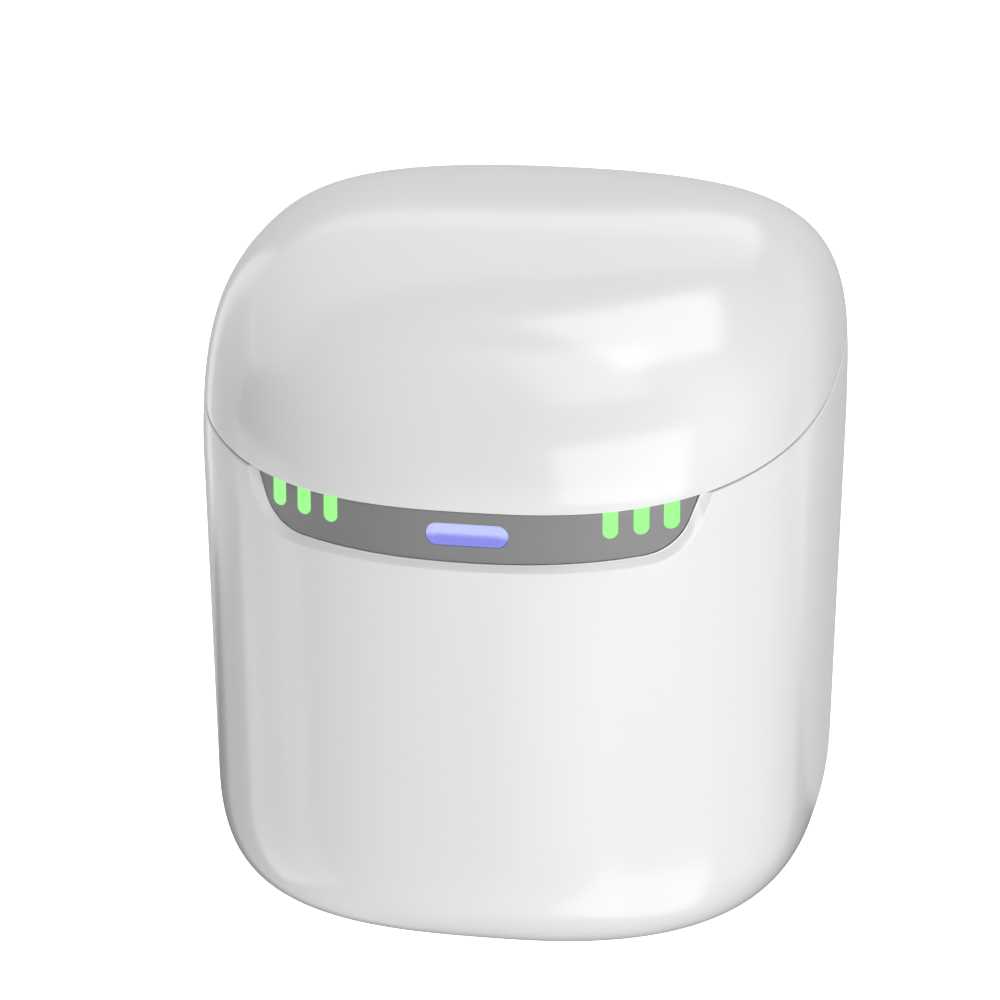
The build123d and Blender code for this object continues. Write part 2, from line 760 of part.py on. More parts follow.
# ---------------------------------------------------------------- heater and air duct
heater_size = fan_size
fin_field = heater_size - 2 * heater_frame
fin_pitch = fin_field / heater_fins
row_pitch = fin_field / heater_rows
with BuildPart() as heater_core:
    with BuildSketch(Plane.XY.offset(fan_top)):
        with Locations((0, bay_y)):
            Rectangle(heater_size, heater_size)
            with GridLocations(fin_pitch, row_pitch, heater_fins, heater_rows):
                Rectangle(fin_pitch - heater_fin, row_pitch - heater_frame, mode=Mode.SUBTRACT)
    extrude(amount=heater_depth)
save(heater_core, "heater_core")


def duct_walls(shrink):
    """The duct as a solid: square foot, tapered neck and narrow top, moved in by a wall."""
    foot = duct_foot_size - 2 * shrink
    top_width = duct_top_width - 2 * shrink
    top_length = duct_top_length - 2 * shrink
    with BuildPart() as solid:
        with BuildSketch(Plane.XY.offset(fan_bottom)):
            with Locations((0, bay_y)):
                Rectangle(foot, foot)
        extrude(amount=duct_taper_start - fan_bottom)
        for level, width, length in (
                (duct_taper_start, foot, foot), (duct_taper_end, top_width, top_length)):
            with BuildSketch(Plane.XY.offset(level)):
                with Locations((0, bay_y)):
                    Rectangle(width, length)
        loft()
        with BuildSketch(Plane.XY.offset(duct_taper_end)):
            with Locations((0, bay_y)):
                Rectangle(top_width, top_length)
        extrude(amount=deck_bottom - duct_taper_end)
    return solid.part


with BuildPart() as air_duct:
    add(duct_walls(0))
    add(duct_walls(duct_wall), mode=Mode.SUBTRACT)
save(air_duct, "air_duct")

# ---------------------------------------------------------------- charging coils
with BuildPart() as coil_bracket:
    with BuildSketch(Plane.XY.offset(bracket_level)):
        with Locations((0, 0)):
            RectangleRounded(2 * bracket_half_width, bracket_length, post_foot_radius)
        with Locations((0, bay_y)):
            Rectangle(duct_top_width + 4 * fit_gap, duct_top_length + 4 * fit_gap, mode=Mode.SUBTRACT)
        with Locations(*deck_post_places):
            Circle(deck_post_radius + fit_gap, mode=Mode.SUBTRACT)
    extrude(amount=bracket_thickness)
save(coil_bracket, "coil_bracket")

shield_foot = bracket_level + bracket_thickness
coil_foot = shield_foot + shield_height
for place, side in zip(bay_places, ("left", "right")):
    with BuildPart() as coil_shield:
        with BuildSketch(Plane.XY.offset(shield_foot)):
            with Locations(place):
                Circle(shield_radius)
        extrude(amount=shield_height)
    save(coil_shield, f"coil_shield_{side}")
    with BuildPart() as charge_coil:
        with BuildSketch(Plane.XY.offset(coil_foot)):
            with Locations(place):
                Circle(coil_radius)
                Circle(coil_bore, mode=Mode.SUBTRACT)
        extrude(amount=coil_height)
    save(charge_coil, f"charge_coil_{side}")

# ---------------------------------------------------------------- deck
screw_seat = deck_top - screw_head_height
with BuildPart() as deck_ring:
    add(form(deck_bottom, collar_inset, rim_reach))
    add(form(deck_bottom, collar_inner, rim_reach), mode=Mode.SUBTRACT)
    add(below_gap, mode=Mode.INTERSECT)

with BuildPart() as deck_plates:
    with BuildSketch(Plane.XY.offset(deck_bottom)):
        Rectangle(body_width, body_depth)
    extrude(amount=deck_thickness)
    with BuildSketch(Plane.XY.offset(shelf_bottom)):
        with Locations((0, (step_wall_back - half_depth) / 2)):
            Rectangle(body_width, half_depth + step_wall_back)
    extrude(amount=shelf_thickness)
    with BuildSketch(Plane.XY.offset(deck_bottom)):
        with Locations((0, (step_wall_front + step_wall_back) / 2)):
            Rectangle(body_width, step_wall_thickness)
    extrude(amount=shelf_top - deck_bottom)
    with BuildSketch(Plane.XY.offset(step_wall_foot)):
        with Locations((0, (step_wall_front + step_wall_back) / 2)):
            Rectangle(light_board_width, step_wall_thickness)
    extrude(amount=deck_bottom - step_wall_foot)

with BuildPart() as deck:
    add(deck_plates.part)
    add(form(step_wall_foot, collar_inset, shelf_top + shelf_drop), mode=Mode.INTERSECT)
    add(deck_ring.part)
    # the bay behind the front panel stays open for the lights and the button
    with BuildSketch(Plane.XY.offset(deck_bottom)):
        with Locations((0, step_wall_front - half_depth / 2)):
            Rectangle(body_width, half_depth)
    extrude(amount=shelf_bottom - deck_bottom, mode=Mode.SUBTRACT)
    # magnet pockets under the shelf
    with BuildSketch(Plane.XY.offset(shelf_bottom)):
        with Locations((-magnet_x, magnet_y), (magnet_x, magnet_y)):
            Rectangle(magnet_length + 2 * magnet_wall, magnet_width + 2 * magnet_wall)
            Rectangle(magnet_length + fit_gap, magnet_width + fit_gap, mode=Mode.SUBTRACT)
    extrude(amount=-magnet_height)
    # cradle holes, air hole, screws
    with BuildSketch(Plane.XY.offset(deck_bottom)):
        with Locations(*bay_places):
            SlotOverall(cradle_length + 2 * fit_gap, cradle_width + 2 * fit_gap, rotation=90)
        with Locations((0, bay_y)):
            Rectangle(air_hole_width, air_hole_length)
            Rectangle(air_hole_width, air_hole_bridge, mode=Mode.SUBTRACT)
        with Locations(*deck_post_places):
            Circle(screw_radius + fit_gap)
    extrude(amount=deck_thickness, mode=Mode.SUBTRACT)
    with BuildSketch(Plane.XY.offset(screw_seat)):
        with Locations(*deck_post_places):
            Circle(screw_head_radius + fit_gap)
    extrude(amount=screw_head_height, mode=Mode.SUBTRACT)
save(deck, "deck")

deck_screws = screws(
    deck_post_places, deck_top, small_screw_length, screw_head_radius, screw_head_height, True)
save(deck_screws, "deck_screws")

with BuildPart() as body_magnets:
    with BuildSketch(Plane.XY.offset(shelf_bottom)):
        with Locations((-magnet_x, magnet_y), (magnet_x, magnet_y)):
            Rectangle(magnet_length, magnet_width)
    extrude(amount=-magnet_height)
save(body_magnets, "body_magnets")

# ---------------------------------------------------------------- cradles
cradle_foot = deck_top - cradle_depth
cradle_top = deck_top + cradle_rim_height
for place, side in zip(bay_places, ("left", "right")):
    with BuildPart() as cradle:
        with BuildSketch(Plane.XY.offset(cradle_foot)):
            with Locations(place):
                SlotOverall(cradle_length, cradle_width, rotation=90)
        extrude(amount=cradle_depth)
        with BuildSketch(Plane.XY.offset(deck_top)):
            with Locations(place):
                SlotOverall(cradle_length + 2 * cradle_flange, cradle_width + 2 * cradle_flange, rotation=90)
        extrude(amount=cradle_rim_height)
        fillet(edges().group_by(Axis.Z)[-1], cradle_rim_height * 0.6)
        with BuildSketch(Plane.XY.offset(cradle_top)):
            with Locations(place):
                SlotOverall(cradle_length - 2 * cradle_wall, cradle_width - 2 * cradle_wall, rotation=90)
        extrude(amount=-dish_depth, mode=Mode.SUBTRACT)
        with BuildSketch(Plane.XY.offset(cradle_top)):
            with Locations(place):
                SlotOverall(slot_length, slot_width, rotation=90)
        extrude(amount=-slot_depth, mode=Mode.SUBTRACT)
    save(cradle, f"cradle_{side}")
    with BuildPart() as ear_mark:
        with BuildSketch(Plane.XY.offset(deck_top)):
            with Locations((place[0], ear_mark_y)):
                Circle(ear_mark_radius)
        extrude(amount=ear_mark_height)
    save(ear_mark, f"ear_mark_{side}")

# ---------------------------------------------------------------- warm air tower and UV light
with BuildPart() as vent_tower:
    with BuildSketch(Plane.XY.offset(deck_top)):
        with Locations((0, bay_y)):
            RectangleRounded(tower_width, tower_length, tower_corner)
    extrude(amount=tower_height)
    fillet(edges().group_by(Axis.Z)[-1], tower_edge)
    with BuildSketch(Plane.XY.offset(deck_top)):
        with Locations((0, bay_y)):
            RectangleRounded(
                tower_width - 2 * tower_wall, tower_length - 2 * tower_wall, tower_corner - tower_wall)
    extrude(amount=tower_height - tower_roof, mode=Mode.SUBTRACT)
    with BuildSketch(Plane.XY.offset(tower_top)):
        with Locations((0, bay_y)):
            RectangleRounded(window_width + 2 * fit_gap, window_length + 2 * fit_gap, window_lip)
    extrude(amount=-window_thickness, mode=Mode.SUBTRACT)
    with BuildSketch(Plane.XY.offset(tower_top)):
        with Locations((0, bay_y)):
            Rectangle(window_width - 2 * window_lip, window_length - 2 * window_lip)
    extrude(amount=-tower_roof, mode=Mode.SUBTRACT)
    with BuildSketch(Plane.YZ.offset(-tower_width)):
        with Locations((bay_y, deck_top + (tower_height - tower_roof) / 2)):
            with GridLocations(tower_slot_pitch, 1, tower_slots, 1):
                SlotOverall(tower_slot_height, tower_slot_width, rotation=90)
    extrude(amount=2 * tower_width, mode=Mode.SUBTRACT)
save(vent_tower, "vent_tower")

with BuildPart() as uvc_window:
    with BuildSketch(Plane.XY.offset(tower_top)):
        with Locations((0, bay_y)):
            RectangleRounded(window_width, window_length, window_lip)
    extrude(amount=-window_thickness)
save(uvc_window, "uvc_window")

with BuildPart() as uvc_board:
    with BuildSketch(Plane.XY.offset(deck_top)):
        with Locations((0, bay_y)):
            Rectangle(uvc_board_width, uvc_board_length)
    extrude(amount=uvc_board_thickness)
save(uvc_board, "uvc_board")

with BuildPart() as uvc_leds:
    with BuildSketch(Plane.XY.offset(deck_top + uvc_board_thickness)):
        with Locations((0, bay_y)):
            with GridLocations(1, uvc_led_pitch, 1, 3):
                Rectangle(uvc_led_size, uvc_led_size)
    extrude(amount=uvc_led_height)
save(uvc_leds, "uvc_leds")

# ---------------------------------------------------------------- front panel, lights and button
panel_front_form = form(front_start, recess_depth, front_reach)
panel_back_form = form(front_start, panel_back, front_reach)
guide_form = form(front_start, panel_back + fit_gap, front_reach)

with BuildPart() as front_panel:
    add(front_prism(panel_foot, panel_foot_radius, panel_half_width, panel_lean, panel_corner, -panel_gap))
    add(panel_front_form, mode=Mode.INTERSECT)
    add(panel_back_form, mode=Mode.SUBTRACT)
    add(under_parting(-parting_gap), mode=Mode.INTERSECT)
    with BuildSketch(Plane.XZ.offset(half_depth)):
        with Locations((0, button_height)):
            SlotOverall(button_length + 2 * slide_gap, button_tall + 2 * slide_gap)
        for place, tip in zip(bar_places, bar_tips):
            with Locations((-place, tip), (place, tip)):
                slot_tall = 2 * (parting_front - tip)
                with Locations((0, slot_tall / 2)):
                    SlotOverall(slot_tall, bar_width + 2 * bar_gap, rotation=90)
    extrude(amount=-half_depth / 2, mode=Mode.SUBTRACT)
save(front_panel, "front_panel")

guide_back = light_board_front - led_depth - fit_gap
guide_ceiling = shelf_bottom - fit_gap
with BuildPart() as above_shelf:
    with BuildSketch(Plane.XY.offset(guide_ceiling)):
        Rectangle(body_width, body_depth)
    extrude(amount=body_depth)
    add(guide_form, mode=Mode.INTERSECT)

for sign, side in ((-1, "left"), (1, "right")):
    carrier_middle = sign * (bar_places[0] + bar_places[2]) / 2
    carrier_width = bar_places[2] - bar_places[0] + bar_width
    with BuildPart() as carrier:
        with BuildSketch(Plane.XZ.offset(-guide_back + carrier_depth)):
            with Locations((carrier_middle, guide_ceiling - carrier_tall / 2)):
                Rectangle(carrier_width, carrier_tall)
        extrude(amount=-carrier_depth)
        add(guide_form, mode=Mode.INTERSECT)
    with BuildPart() as light_guide:
        with BuildSketch(Plane.XZ.offset(half_depth)):
            for place, tip in zip(bar_places, bar_tips):
                slot_tall = 2 * (parting_front - tip)
                with Locations((sign * place, tip + bar_gap + slot_tall / 2)):
                    SlotOverall(slot_tall, bar_width, rotation=90)
        extrude(amount=-(half_depth + guide_back))
        add(panel_front_form, mode=Mode.INTERSECT)
        add(under_parting(-parting_gap), mode=Mode.INTERSECT)
        # behind the panel the guides drop under the shelf and join in one carrier
        add(above_shelf.part, mode=Mode.SUBTRACT)
        add(carrier.part)
    save(light_guide, f"light_guide_{side}")

with BuildPart() as start_button:
    with BuildSketch(Plane.XZ.offset(-button_face)):
        with Locations((0, button_height)):
            SlotOverall(button_length, button_tall)
    extrude(amount=button_face - flange_front)
    with BuildSketch(Plane.XZ.offset(-flange_front)):
        flange_top = button_height + button_tall / 2 + flange_margin_up
        flange_low = button_height - button_tall / 2 - flange_margin_down
        with Locations((0, (flange_top + flange_low) / 2)):
            RectangleRounded(button_length + 2 * flange_margin_x, flange_top - flange_low, flange_thickness)
    extrude(amount=-flange_thickness)
    with BuildSketch(Plane.XZ.offset(-flange_back)):
        with Locations((0, button_height)):
            Circle(stem_radius)
    extrude(amount=flange_back - plunger_front)
    with BuildSketch(Plane.XZ.offset(-button_face)):
        with Locations((0, button_height - button_dish_drop)):
            SlotOverall(button_dish_length, button_dish_tall)
    extrude(amount=-button_dish_depth, mode=Mode.SUBTRACT)
save(start_button, "start_button")

with BuildPart() as switch_plunger:
    with BuildSketch(Plane.XZ.offset(-plunger_front)):
        with Locations((0, button_height)):
            Circle(plunger_radius)
    extrude(amount=-(plunger_out + plunger_in))
save(switch_plunger, "switch_plunger")

with BuildPart() as switch_body:
    with BuildSketch(Plane.XZ.offset(-switch_front)):
        with Locations((0, button_height)):
            Rectangle(switch_width, switch_tall)
    extrude(amount=-switch_depth)
    with BuildSketch(Plane.XZ.offset(-switch_front)):
        with Locations((0, button_height)):
            Circle(plunger_radius + slide_gap)
    extrude(amount=-(plunger_in + button_travel + fit_gap * 2), mode=Mode.SUBTRACT)
save(switch_body, "switch_body")

with BuildPart() as light_board:
    with BuildSketch(Plane.XZ.offset(-light_board_front)):
        with Locations((0, (light_board_top + light_board_foot) / 2)):
            RectangleRounded(light_board_width, light_board_height, light_board_thickness)
    extrude(amount=-light_board_thickness)
save(light_board, "light_board")

led_height_centre = shelf_bottom - fit_gap - led_height / 2
led_places = [(sign * place, led_height_centre) for sign in (-1, 1) for place in bar_places]
led_places += [(-switch_width, button_height), (switch_width, button_height)]
with BuildPart() as indicator_leds:
    with BuildSketch(Plane.XZ.offset(-light_board_front)):
        with Locations(*led_places):
            Rectangle(led_width, led_height)
    extrude(amount=led_depth)
save(indicator_leds, "indicator_leds")

# flat cable from the light board's face down through the chassis window to the main board
ribbon_front = light_board_front - ribbon_thickness / 2
with BuildPart() as panel_ribbon:
    with BuildLine(Plane.YZ) as ribbon_path:
        FilletPolyline(
            (ribbon_front, light_board_foot + ribbon_width / 2),
            (ribbon_front, light_board_foot - ribbon_bend),
            (ribbon_window_y, light_board_foot - 3 * ribbon_bend),
            (ribbon_window_y, board_top + ribbon_bend),
            radius=ribbon_bend)
    with BuildSketch(Plane(origin=ribbon_path.line @ 0, x_dir=(1, 0, 0), z_dir=ribbon_path.line % 0)):
        Rectangle(ribbon_width, ribbon_thickness)
    sweep()
save(panel_ribbon, "panel_ribbon")

# ---------------------------------------------------------------- rear filter
with BuildPart() as intake_filter:
    with BuildSketch(Plane.XZ.offset(-filter_front)):
        with Locations((0, intake_level)):
            Rectangle(filter_width, filter_height)
    extrude(amount=-filter_thickness)
save(intake_filter, "intake_filter")

# ---------------------------------------------------------------- lid
with BuildPart() as lid_shell:
    add(form(dome_start, 0, total_height))
    add(form(dome_start, shell_wall, total_height), mode=Mode.SUBTRACT)
    add(above_gap, mode=Mode.SUBTRACT)
    # room for the body's knuckles
    for side in (-1, 1):
        with BuildSketch(Plane.YZ.offset(side * body_knuckle_x)):
            with Locations((hinge_y, hinge_z)):
                Circle(barrel_radius + knuckle_gap)
        extrude(amount=body_knuckle_length / 2 + knuckle_gap, both=True, mode=Mode.SUBTRACT)
    # the lid's own knuckle and the web that carries it
    with BuildSketch(Plane.YZ):
        with Locations((hinge_y, hinge_z)):
            Circle(barrel_radius)
        web_front = hinge_y - barrel_radius - parting_gap
        with BuildLine():
            Polyline(
                (web_front, hinge_z + parting_gap / 2),
                (hinge_y, hinge_z + parting_gap / 2),
                (hinge_y, hinge_z + barrel_radius),
                (web_front, hinge_z + barrel_radius),
                close=True)
        make_face()
    extrude(amount=lid_knuckle_length / 2, both=True)
    with BuildSketch(hinge_axis):
        Circle(pin_radius + running_gap)
    extrude(amount=hinge_span, both=True, mode=Mode.SUBTRACT)
save(lid_shell, "lid_shell")

with BuildPart() as hinge_pin:
    with BuildSketch(hinge_axis):
        Circle(pin_radius)
    extrude(amount=hinge_span, both=True)
save(hinge_pin, "hinge_pin")

with BuildPart() as lid_seal:
    add(form(dome_start, seal_inset, rim_reach + 2 * seal_height))
    add(form(dome_start, seal_inset + seal_width, rim_reach + 2 * seal_height), mode=Mode.SUBTRACT)
    add(under_parting(parting_gap / 2 + seal_height), mode=Mode.INTERSECT)
    add(above_gap, mode=Mode.SUBTRACT)
save(lid_seal, "lid_seal")

lid_magnet_foot = parting_height(magnet_y, liner_foot) + fit_gap
lid_magnet_places = [(-magnet_x, magnet_y + magnet_wall), (magnet_x, magnet_y + magnet_wall)]
with BuildPart() as liner_hollow:
    add(form(dome_start, liner_inner, total_height))
    # two blocks at the front are left solid for the magnets
    with BuildSketch(Plane.XY):
        with Locations(*lid_magnet_places):
            Rectangle(magnet_length + 2 * magnet_wall, magnet_width + 2 * magnet_wall)
    extrude(amount=lid_magnet_foot + magnet_height + magnet_wall, mode=Mode.SUBTRACT)

with BuildPart() as lid_liner:
    add(form(dome_start, liner_inset, total_height))
    add(under_parting(liner_foot), mode=Mode.SUBTRACT)
    add(liner_hollow.part, mode=Mode.SUBTRACT)
    with BuildSketch(Plane.XY.offset(lid_magnet_foot - seal_height)):
        with Locations(*lid_magnet_places):
            Rectangle(magnet_length + fit_gap, magnet_width + fit_gap)
    extrude(amount=magnet_height + seal_height, mode=Mode.SUBTRACT)
save(lid_liner, "lid_liner")

with BuildPart() as lid_magnets:
    with BuildSketch(Plane.XY.offset(lid_magnet_foot)):
        with Locations(*lid_magnet_places):
            Rectangle(magnet_length, magnet_width)
    extrude(amount=magnet_height)
save(lid_magnets, "lid_magnets")
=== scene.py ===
"""Looks of a desk-top dryer for a pair of hearing aids, built around its packed construction model.

Everything is in metres. +Z is up, the front with the button faces -Y, and the origin is on the desk.
"""
import json
import logging
import math
from dataclasses import dataclass
from enum import Enum
from typing import Any, Callable, Iterable, Sequence

import bmesh
import bpy
import numpy as np
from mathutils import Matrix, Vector


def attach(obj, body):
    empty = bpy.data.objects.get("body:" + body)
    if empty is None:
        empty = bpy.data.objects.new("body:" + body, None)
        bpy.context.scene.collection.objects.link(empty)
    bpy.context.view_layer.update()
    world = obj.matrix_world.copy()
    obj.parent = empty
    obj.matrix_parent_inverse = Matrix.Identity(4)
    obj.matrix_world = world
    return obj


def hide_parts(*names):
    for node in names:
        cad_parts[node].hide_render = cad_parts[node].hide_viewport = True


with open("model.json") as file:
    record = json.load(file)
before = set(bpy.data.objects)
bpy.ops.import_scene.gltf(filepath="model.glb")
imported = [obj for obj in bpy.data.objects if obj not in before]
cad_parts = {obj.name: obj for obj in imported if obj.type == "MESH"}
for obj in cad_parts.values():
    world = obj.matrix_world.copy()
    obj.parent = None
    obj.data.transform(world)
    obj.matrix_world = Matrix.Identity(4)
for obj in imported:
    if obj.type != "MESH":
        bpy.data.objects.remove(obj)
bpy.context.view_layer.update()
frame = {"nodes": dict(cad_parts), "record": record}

log = logging.getLogger("dryer")
Array = np.ndarray
Colour = tuple[float, float, float]
MM = 0.001
RIGHT_ANGLE = math.pi / 2


class Side(Enum):
    """The two charging bays, seen from the front."""

    LEFT = -1
    RIGHT = 1

    @property
    def word(self) -> str:
        """The side's name in node names."""
        return self.name.lower()


class Join(Enum):
    """How a tool solid changes a piece."""

    CUT = "DIFFERENCE"
    WELD = "UNION"
    SHARE = "INTERSECT"


# ---------------------------------------------------------------- node trees
class Wiring:
    """Adds nodes to one tree and joins them."""

    def __init__(self, tree: bpy.types.NodeTree) -> None:
        """Keeps the tree."""
        self.tree = tree

    def add(self, kind: str, inputs: dict[Any, Any] | None = None, **settings: Any) -> bpy.types.Node:
        """Adds a node.

        Args:
            kind: Blender's name of the node type.
            inputs: values or sockets for its inputs, by name or place.
            **settings: the node's own options.

        Returns:
            The new node.
        """
        node = self.tree.nodes.new(kind)
        for option, value in settings.items():
            setattr(node, option, value)
        for key, value in (inputs or {}).items():
            if isinstance(value, bpy.types.NodeSocket):
                self.tree.links.new(value, node.inputs[key])
            else:
                node.inputs[key].default_value = value
        return node

    def math(self, operation: str, *values: Any) -> bpy.types.NodeSocket:
        """One step of arithmetic on numbers or sockets."""
        return self.add("ShaderNodeMath", dict(enumerate(values)), operation=operation).outputs[0]

    def noise(self, place: bpy.types.NodeSocket, scale: Any, detail: float = 2.0) -> bpy.types.NodeSocket:
        """Soft noise from 0 to 1."""
        node = self.add("ShaderNodeTexNoise", {"Vector": place, "Scale": scale, "Detail": detail})
        return node.outputs[0]


def new_tree(name: str, kind: str, inputs: dict[str, str], outputs: dict[str, str]
             ) -> tuple[bpy.types.NodeTree, Wiring, bpy.types.Node, bpy.types.Node]:
    """A node group with named sockets.

    Args:
        name: the group's name.
        kind: ShaderNodeTree or GeometryNodeTree.
        inputs: socket types by name, without the NodeSocket prefix.
        outputs: the same for what it puts out.

    Returns:
        The tree, its wiring, and its input and output nodes.
    """
    tree = bpy.data.node_groups.new(name, kind)
    for side, sockets in (("INPUT", inputs), ("OUTPUT", outputs)):
        for label, socket in sockets.items():
            tree.interface.new_socket(name=label, in_out=side, socket_type=f"NodeSocket{socket}")
    wiring = Wiring(tree)
    return tree, wiring, wiring.add("NodeGroupInput"), wiring.add("NodeGroupOutput")


def once(build: Callable[[], bpy.types.NodeTree]) -> Callable[[], bpy.types.NodeTree]:
    """Makes a node group the first time that it is asked for."""
    made: list[bpy.types.NodeTree] = []

    def get() -> bpy.types.NodeTree:
        """The one group."""
        if not made:
            made.append(build())
        return made[0]

    return get


@once
def moulded_surface() -> bpy.types.NodeTree:
    """Moulded plastic: faint clouding, uneven gloss and the fine texture of the mould."""
    tree, wire, given, put = new_tree(
        "moulded_surface", "ShaderNodeTree",
        {"Colour": "Color", "Clouding": "Float", "Roughness": "Float", "Unevenness": "Float",
         "Grain Scale": "Float", "Flow Scale": "Float"},
        {"Colour": "Color", "Roughness": "Float", "Height": "Float"})
    place = wire.add("ShaderNodeTexCoord").outputs["Object"]
    cloud = wire.noise(place, given.outputs["Flow Scale"])
    smudge = wire.noise(place, wire.math("MULTIPLY", given.outputs["Flow Scale"], 3.7), 4.0)
    grain = wire.noise(place, given.outputs["Grain Scale"], 3.0)
    shade = wire.math("SUBTRACT", 1.0, wire.math("MULTIPLY", cloud, given.outputs["Clouding"]))
    tinted = wire.add("ShaderNodeVectorMath", {0: given.outputs["Colour"], "Scale": shade}, operation="SCALE")
    drift = wire.math("MULTIPLY", wire.math("SUBTRACT", smudge, 0.5), given.outputs["Unevenness"])
    wire.tree.links.new(tinted.outputs[0], put.inputs["Colour"])
    wire.tree.links.new(wire.math("ADD", given.outputs["Roughness"], drift), put.inputs["Roughness"])
    wire.tree.links.new(grain, put.inputs["Height"])
    return tree


@once
def brushed_surface() -> bpy.types.NodeTree:
    """Drawn or turned metal: fine lines along X, with duller and brighter stretches."""
    tree, wire, given, put = new_tree(
        "brushed_surface", "ShaderNodeTree",
        {"Colour": "Color", "Roughness": "Float", "Line Scale": "Float"},
        {"Colour": "Color", "Roughness": "Float", "Height": "Float"})
    place = wire.add("ShaderNodeTexCoord").outputs["Object"]
    drawn = wire.add("ShaderNodeMapping", {"Vector": place, "Scale": (0.04, 1.0, 1.0)}).outputs[0]
    lines = wire.noise(drawn, given.outputs["Line Scale"], 4.0)
    cloud = wire.noise(place, 400.0)
    shade = wire.math("ADD", 0.82, wire.math("MULTIPLY", lines, 0.3))
    tinted = wire.add("ShaderNodeVectorMath", {0: given.outputs["Colour"], "Scale": shade}, operation="SCALE")
    evened = wire.math("ADD", 0.85, wire.math("MULTIPLY", cloud, 0.3))
    dull = wire.math("MULTIPLY", evened, given.outputs["Roughness"])
    wire.tree.links.new(tinted.outputs[0], put.inputs["Colour"])
    wire.tree.links.new(dull, put.inputs["Roughness"])
    wire.tree.links.new(lines, put.inputs["Height"])
    return tree


@once
def repeat_on_grid() -> bpy.types.NodeTree:
    """Geometry tree that sets copies of a piece on a grid around the middle of the piece."""
    tree, wire, given, put = new_tree(
        "repeat_on_grid", "GeometryNodeTree",
        {"Geometry": "Geometry", "Columns": "Int", "Rows": "Int", "Length": "Float", "Width": "Float",
         "Level": "Vector", "Finish": "Material"},
        {"Geometry": "Geometry"})
    grid = wire.add("GeometryNodeMeshGrid", {
        "Size X": given.outputs["Length"], "Size Y": given.outputs["Width"],
        "Vertices X": given.outputs["Columns"], "Vertices Y": given.outputs["Rows"]})
    placed = wire.add("GeometryNodeTransform", {
        "Geometry": grid.outputs["Mesh"], "Translation": given.outputs["Level"]})
    copies = wire.add("GeometryNodeInstanceOnPoints", {
        "Points": placed.outputs[0], "Instance": given.outputs["Geometry"]})
    real = wire.add("GeometryNodeRealizeInstances", {0: copies.outputs[0]})
    dressed = wire.add("GeometryNodeSetMaterial", {
        "Geometry": real.outputs[0], "Material": given.outputs["Finish"]})
    wire.tree.links.new(dressed.outputs[0], put.inputs["Geometry"])
    return tree


# ---------------------------------------------------------------- finishes
def new_material(name: str) -> tuple[bpy.types.Material, Wiring, bpy.types.Node]:
    """A material with an empty surface shader.

    Args:
        name: the material's name.

    Returns:
        The material, its wiring and its shader node.
    """
    material = bpy.data.materials.new(name)
    material.use_nodes = True
    material.node_tree.nodes.clear()
    wire = Wiring(material.node_tree)
    shader = wire.add("ShaderNodeBsdfPrincipled")
    wire.add("ShaderNodeOutputMaterial", {"Surface": shader.outputs[0]})
    return material, wire, shader


def soften(wire: Wiring, shader: bpy.types.Node, height: bpy.types.NodeSocket, relief: float,
           edge: float) -> None:
    """Joins a height to a shader as relief, over edges rounded by a small radius."""
    bump = wire.add("ShaderNodeBump", {"Height": height, "Distance": relief, "Strength": 1.0})
    if edge > 0:
        rounded = wire.add("ShaderNodeBevel", {"Radius": edge}, samples=4)
        wire.tree.links.new(rounded.outputs[0], bump.inputs["Normal"])
    wire.tree.links.new(bump.outputs[0], shader.inputs["Normal"])


@dataclass(frozen=True)
class Moulding:
    """Plastic, rubber or ceramic from a mould."""

    slot: str
    colour: Colour
    roughness: float = 0.4
    clouding: float = 0.05
    unevenness: float = 0.08
    grain: float = 2600.0
    flow: float = 60.0
    relief: float = 0.004 * MM
    edge: float = 0.12 * MM
    coat: float = 0.0
    sheen: float = 0.0

    def material(self) -> bpy.types.Material:
        """The finish as a node material."""
        material, wire, shader = new_material(self.slot)
        surface = wire.add("ShaderNodeGroup", node_tree=moulded_surface())
        for label, value in (("Colour", (*self.colour, 1.0)), ("Clouding", self.clouding),
                             ("Roughness", self.roughness), ("Unevenness", self.unevenness),
                             ("Grain Scale", self.grain), ("Flow Scale", self.flow)):
            surface.inputs[label].default_value = value
        wire.tree.links.new(surface.outputs["Colour"], shader.inputs["Base Color"])
        wire.tree.links.new(surface.outputs["Roughness"], shader.inputs["Roughness"])
        shader.inputs["Coat Weight"].default_value = self.coat
        shader.inputs["Coat Roughness"].default_value = 0.08
        shader.inputs["Sheen Weight"].default_value = self.sheen
        soften(wire, shader, surface.outputs["Height"], self.relief, self.edge)
        return material


@dataclass(frozen=True)
class Metal:
    """Drawn, turned or plated metal."""

    slot: str
    colour: Colour
    roughness: float = 0.3
    lines: float = 5200.0
    relief: float = 0.002 * MM
    edge: float = 0.08 * MM

    def material(self) -> bpy.types.Material:
        """The finish as a node material."""
        material, wire, shader = new_material(self.slot)
        surface = wire.add("ShaderNodeGroup", node_tree=brushed_surface())
        surface.inputs["Colour"].default_value = (*self.colour, 1.0)
        surface.inputs["Roughness"].default_value = self.roughness
        surface.inputs["Line Scale"].default_value = self.lines
        wire.tree.links.new(surface.outputs["Colour"], shader.inputs["Base Color"])
        wire.tree.links.new(surface.outputs["Roughness"], shader.inputs["Roughness"])
        shader.inputs["Metallic"].default_value = 1.0
        soften(wire, shader, surface.outputs["Height"], self.relief, self.edge)
        return material


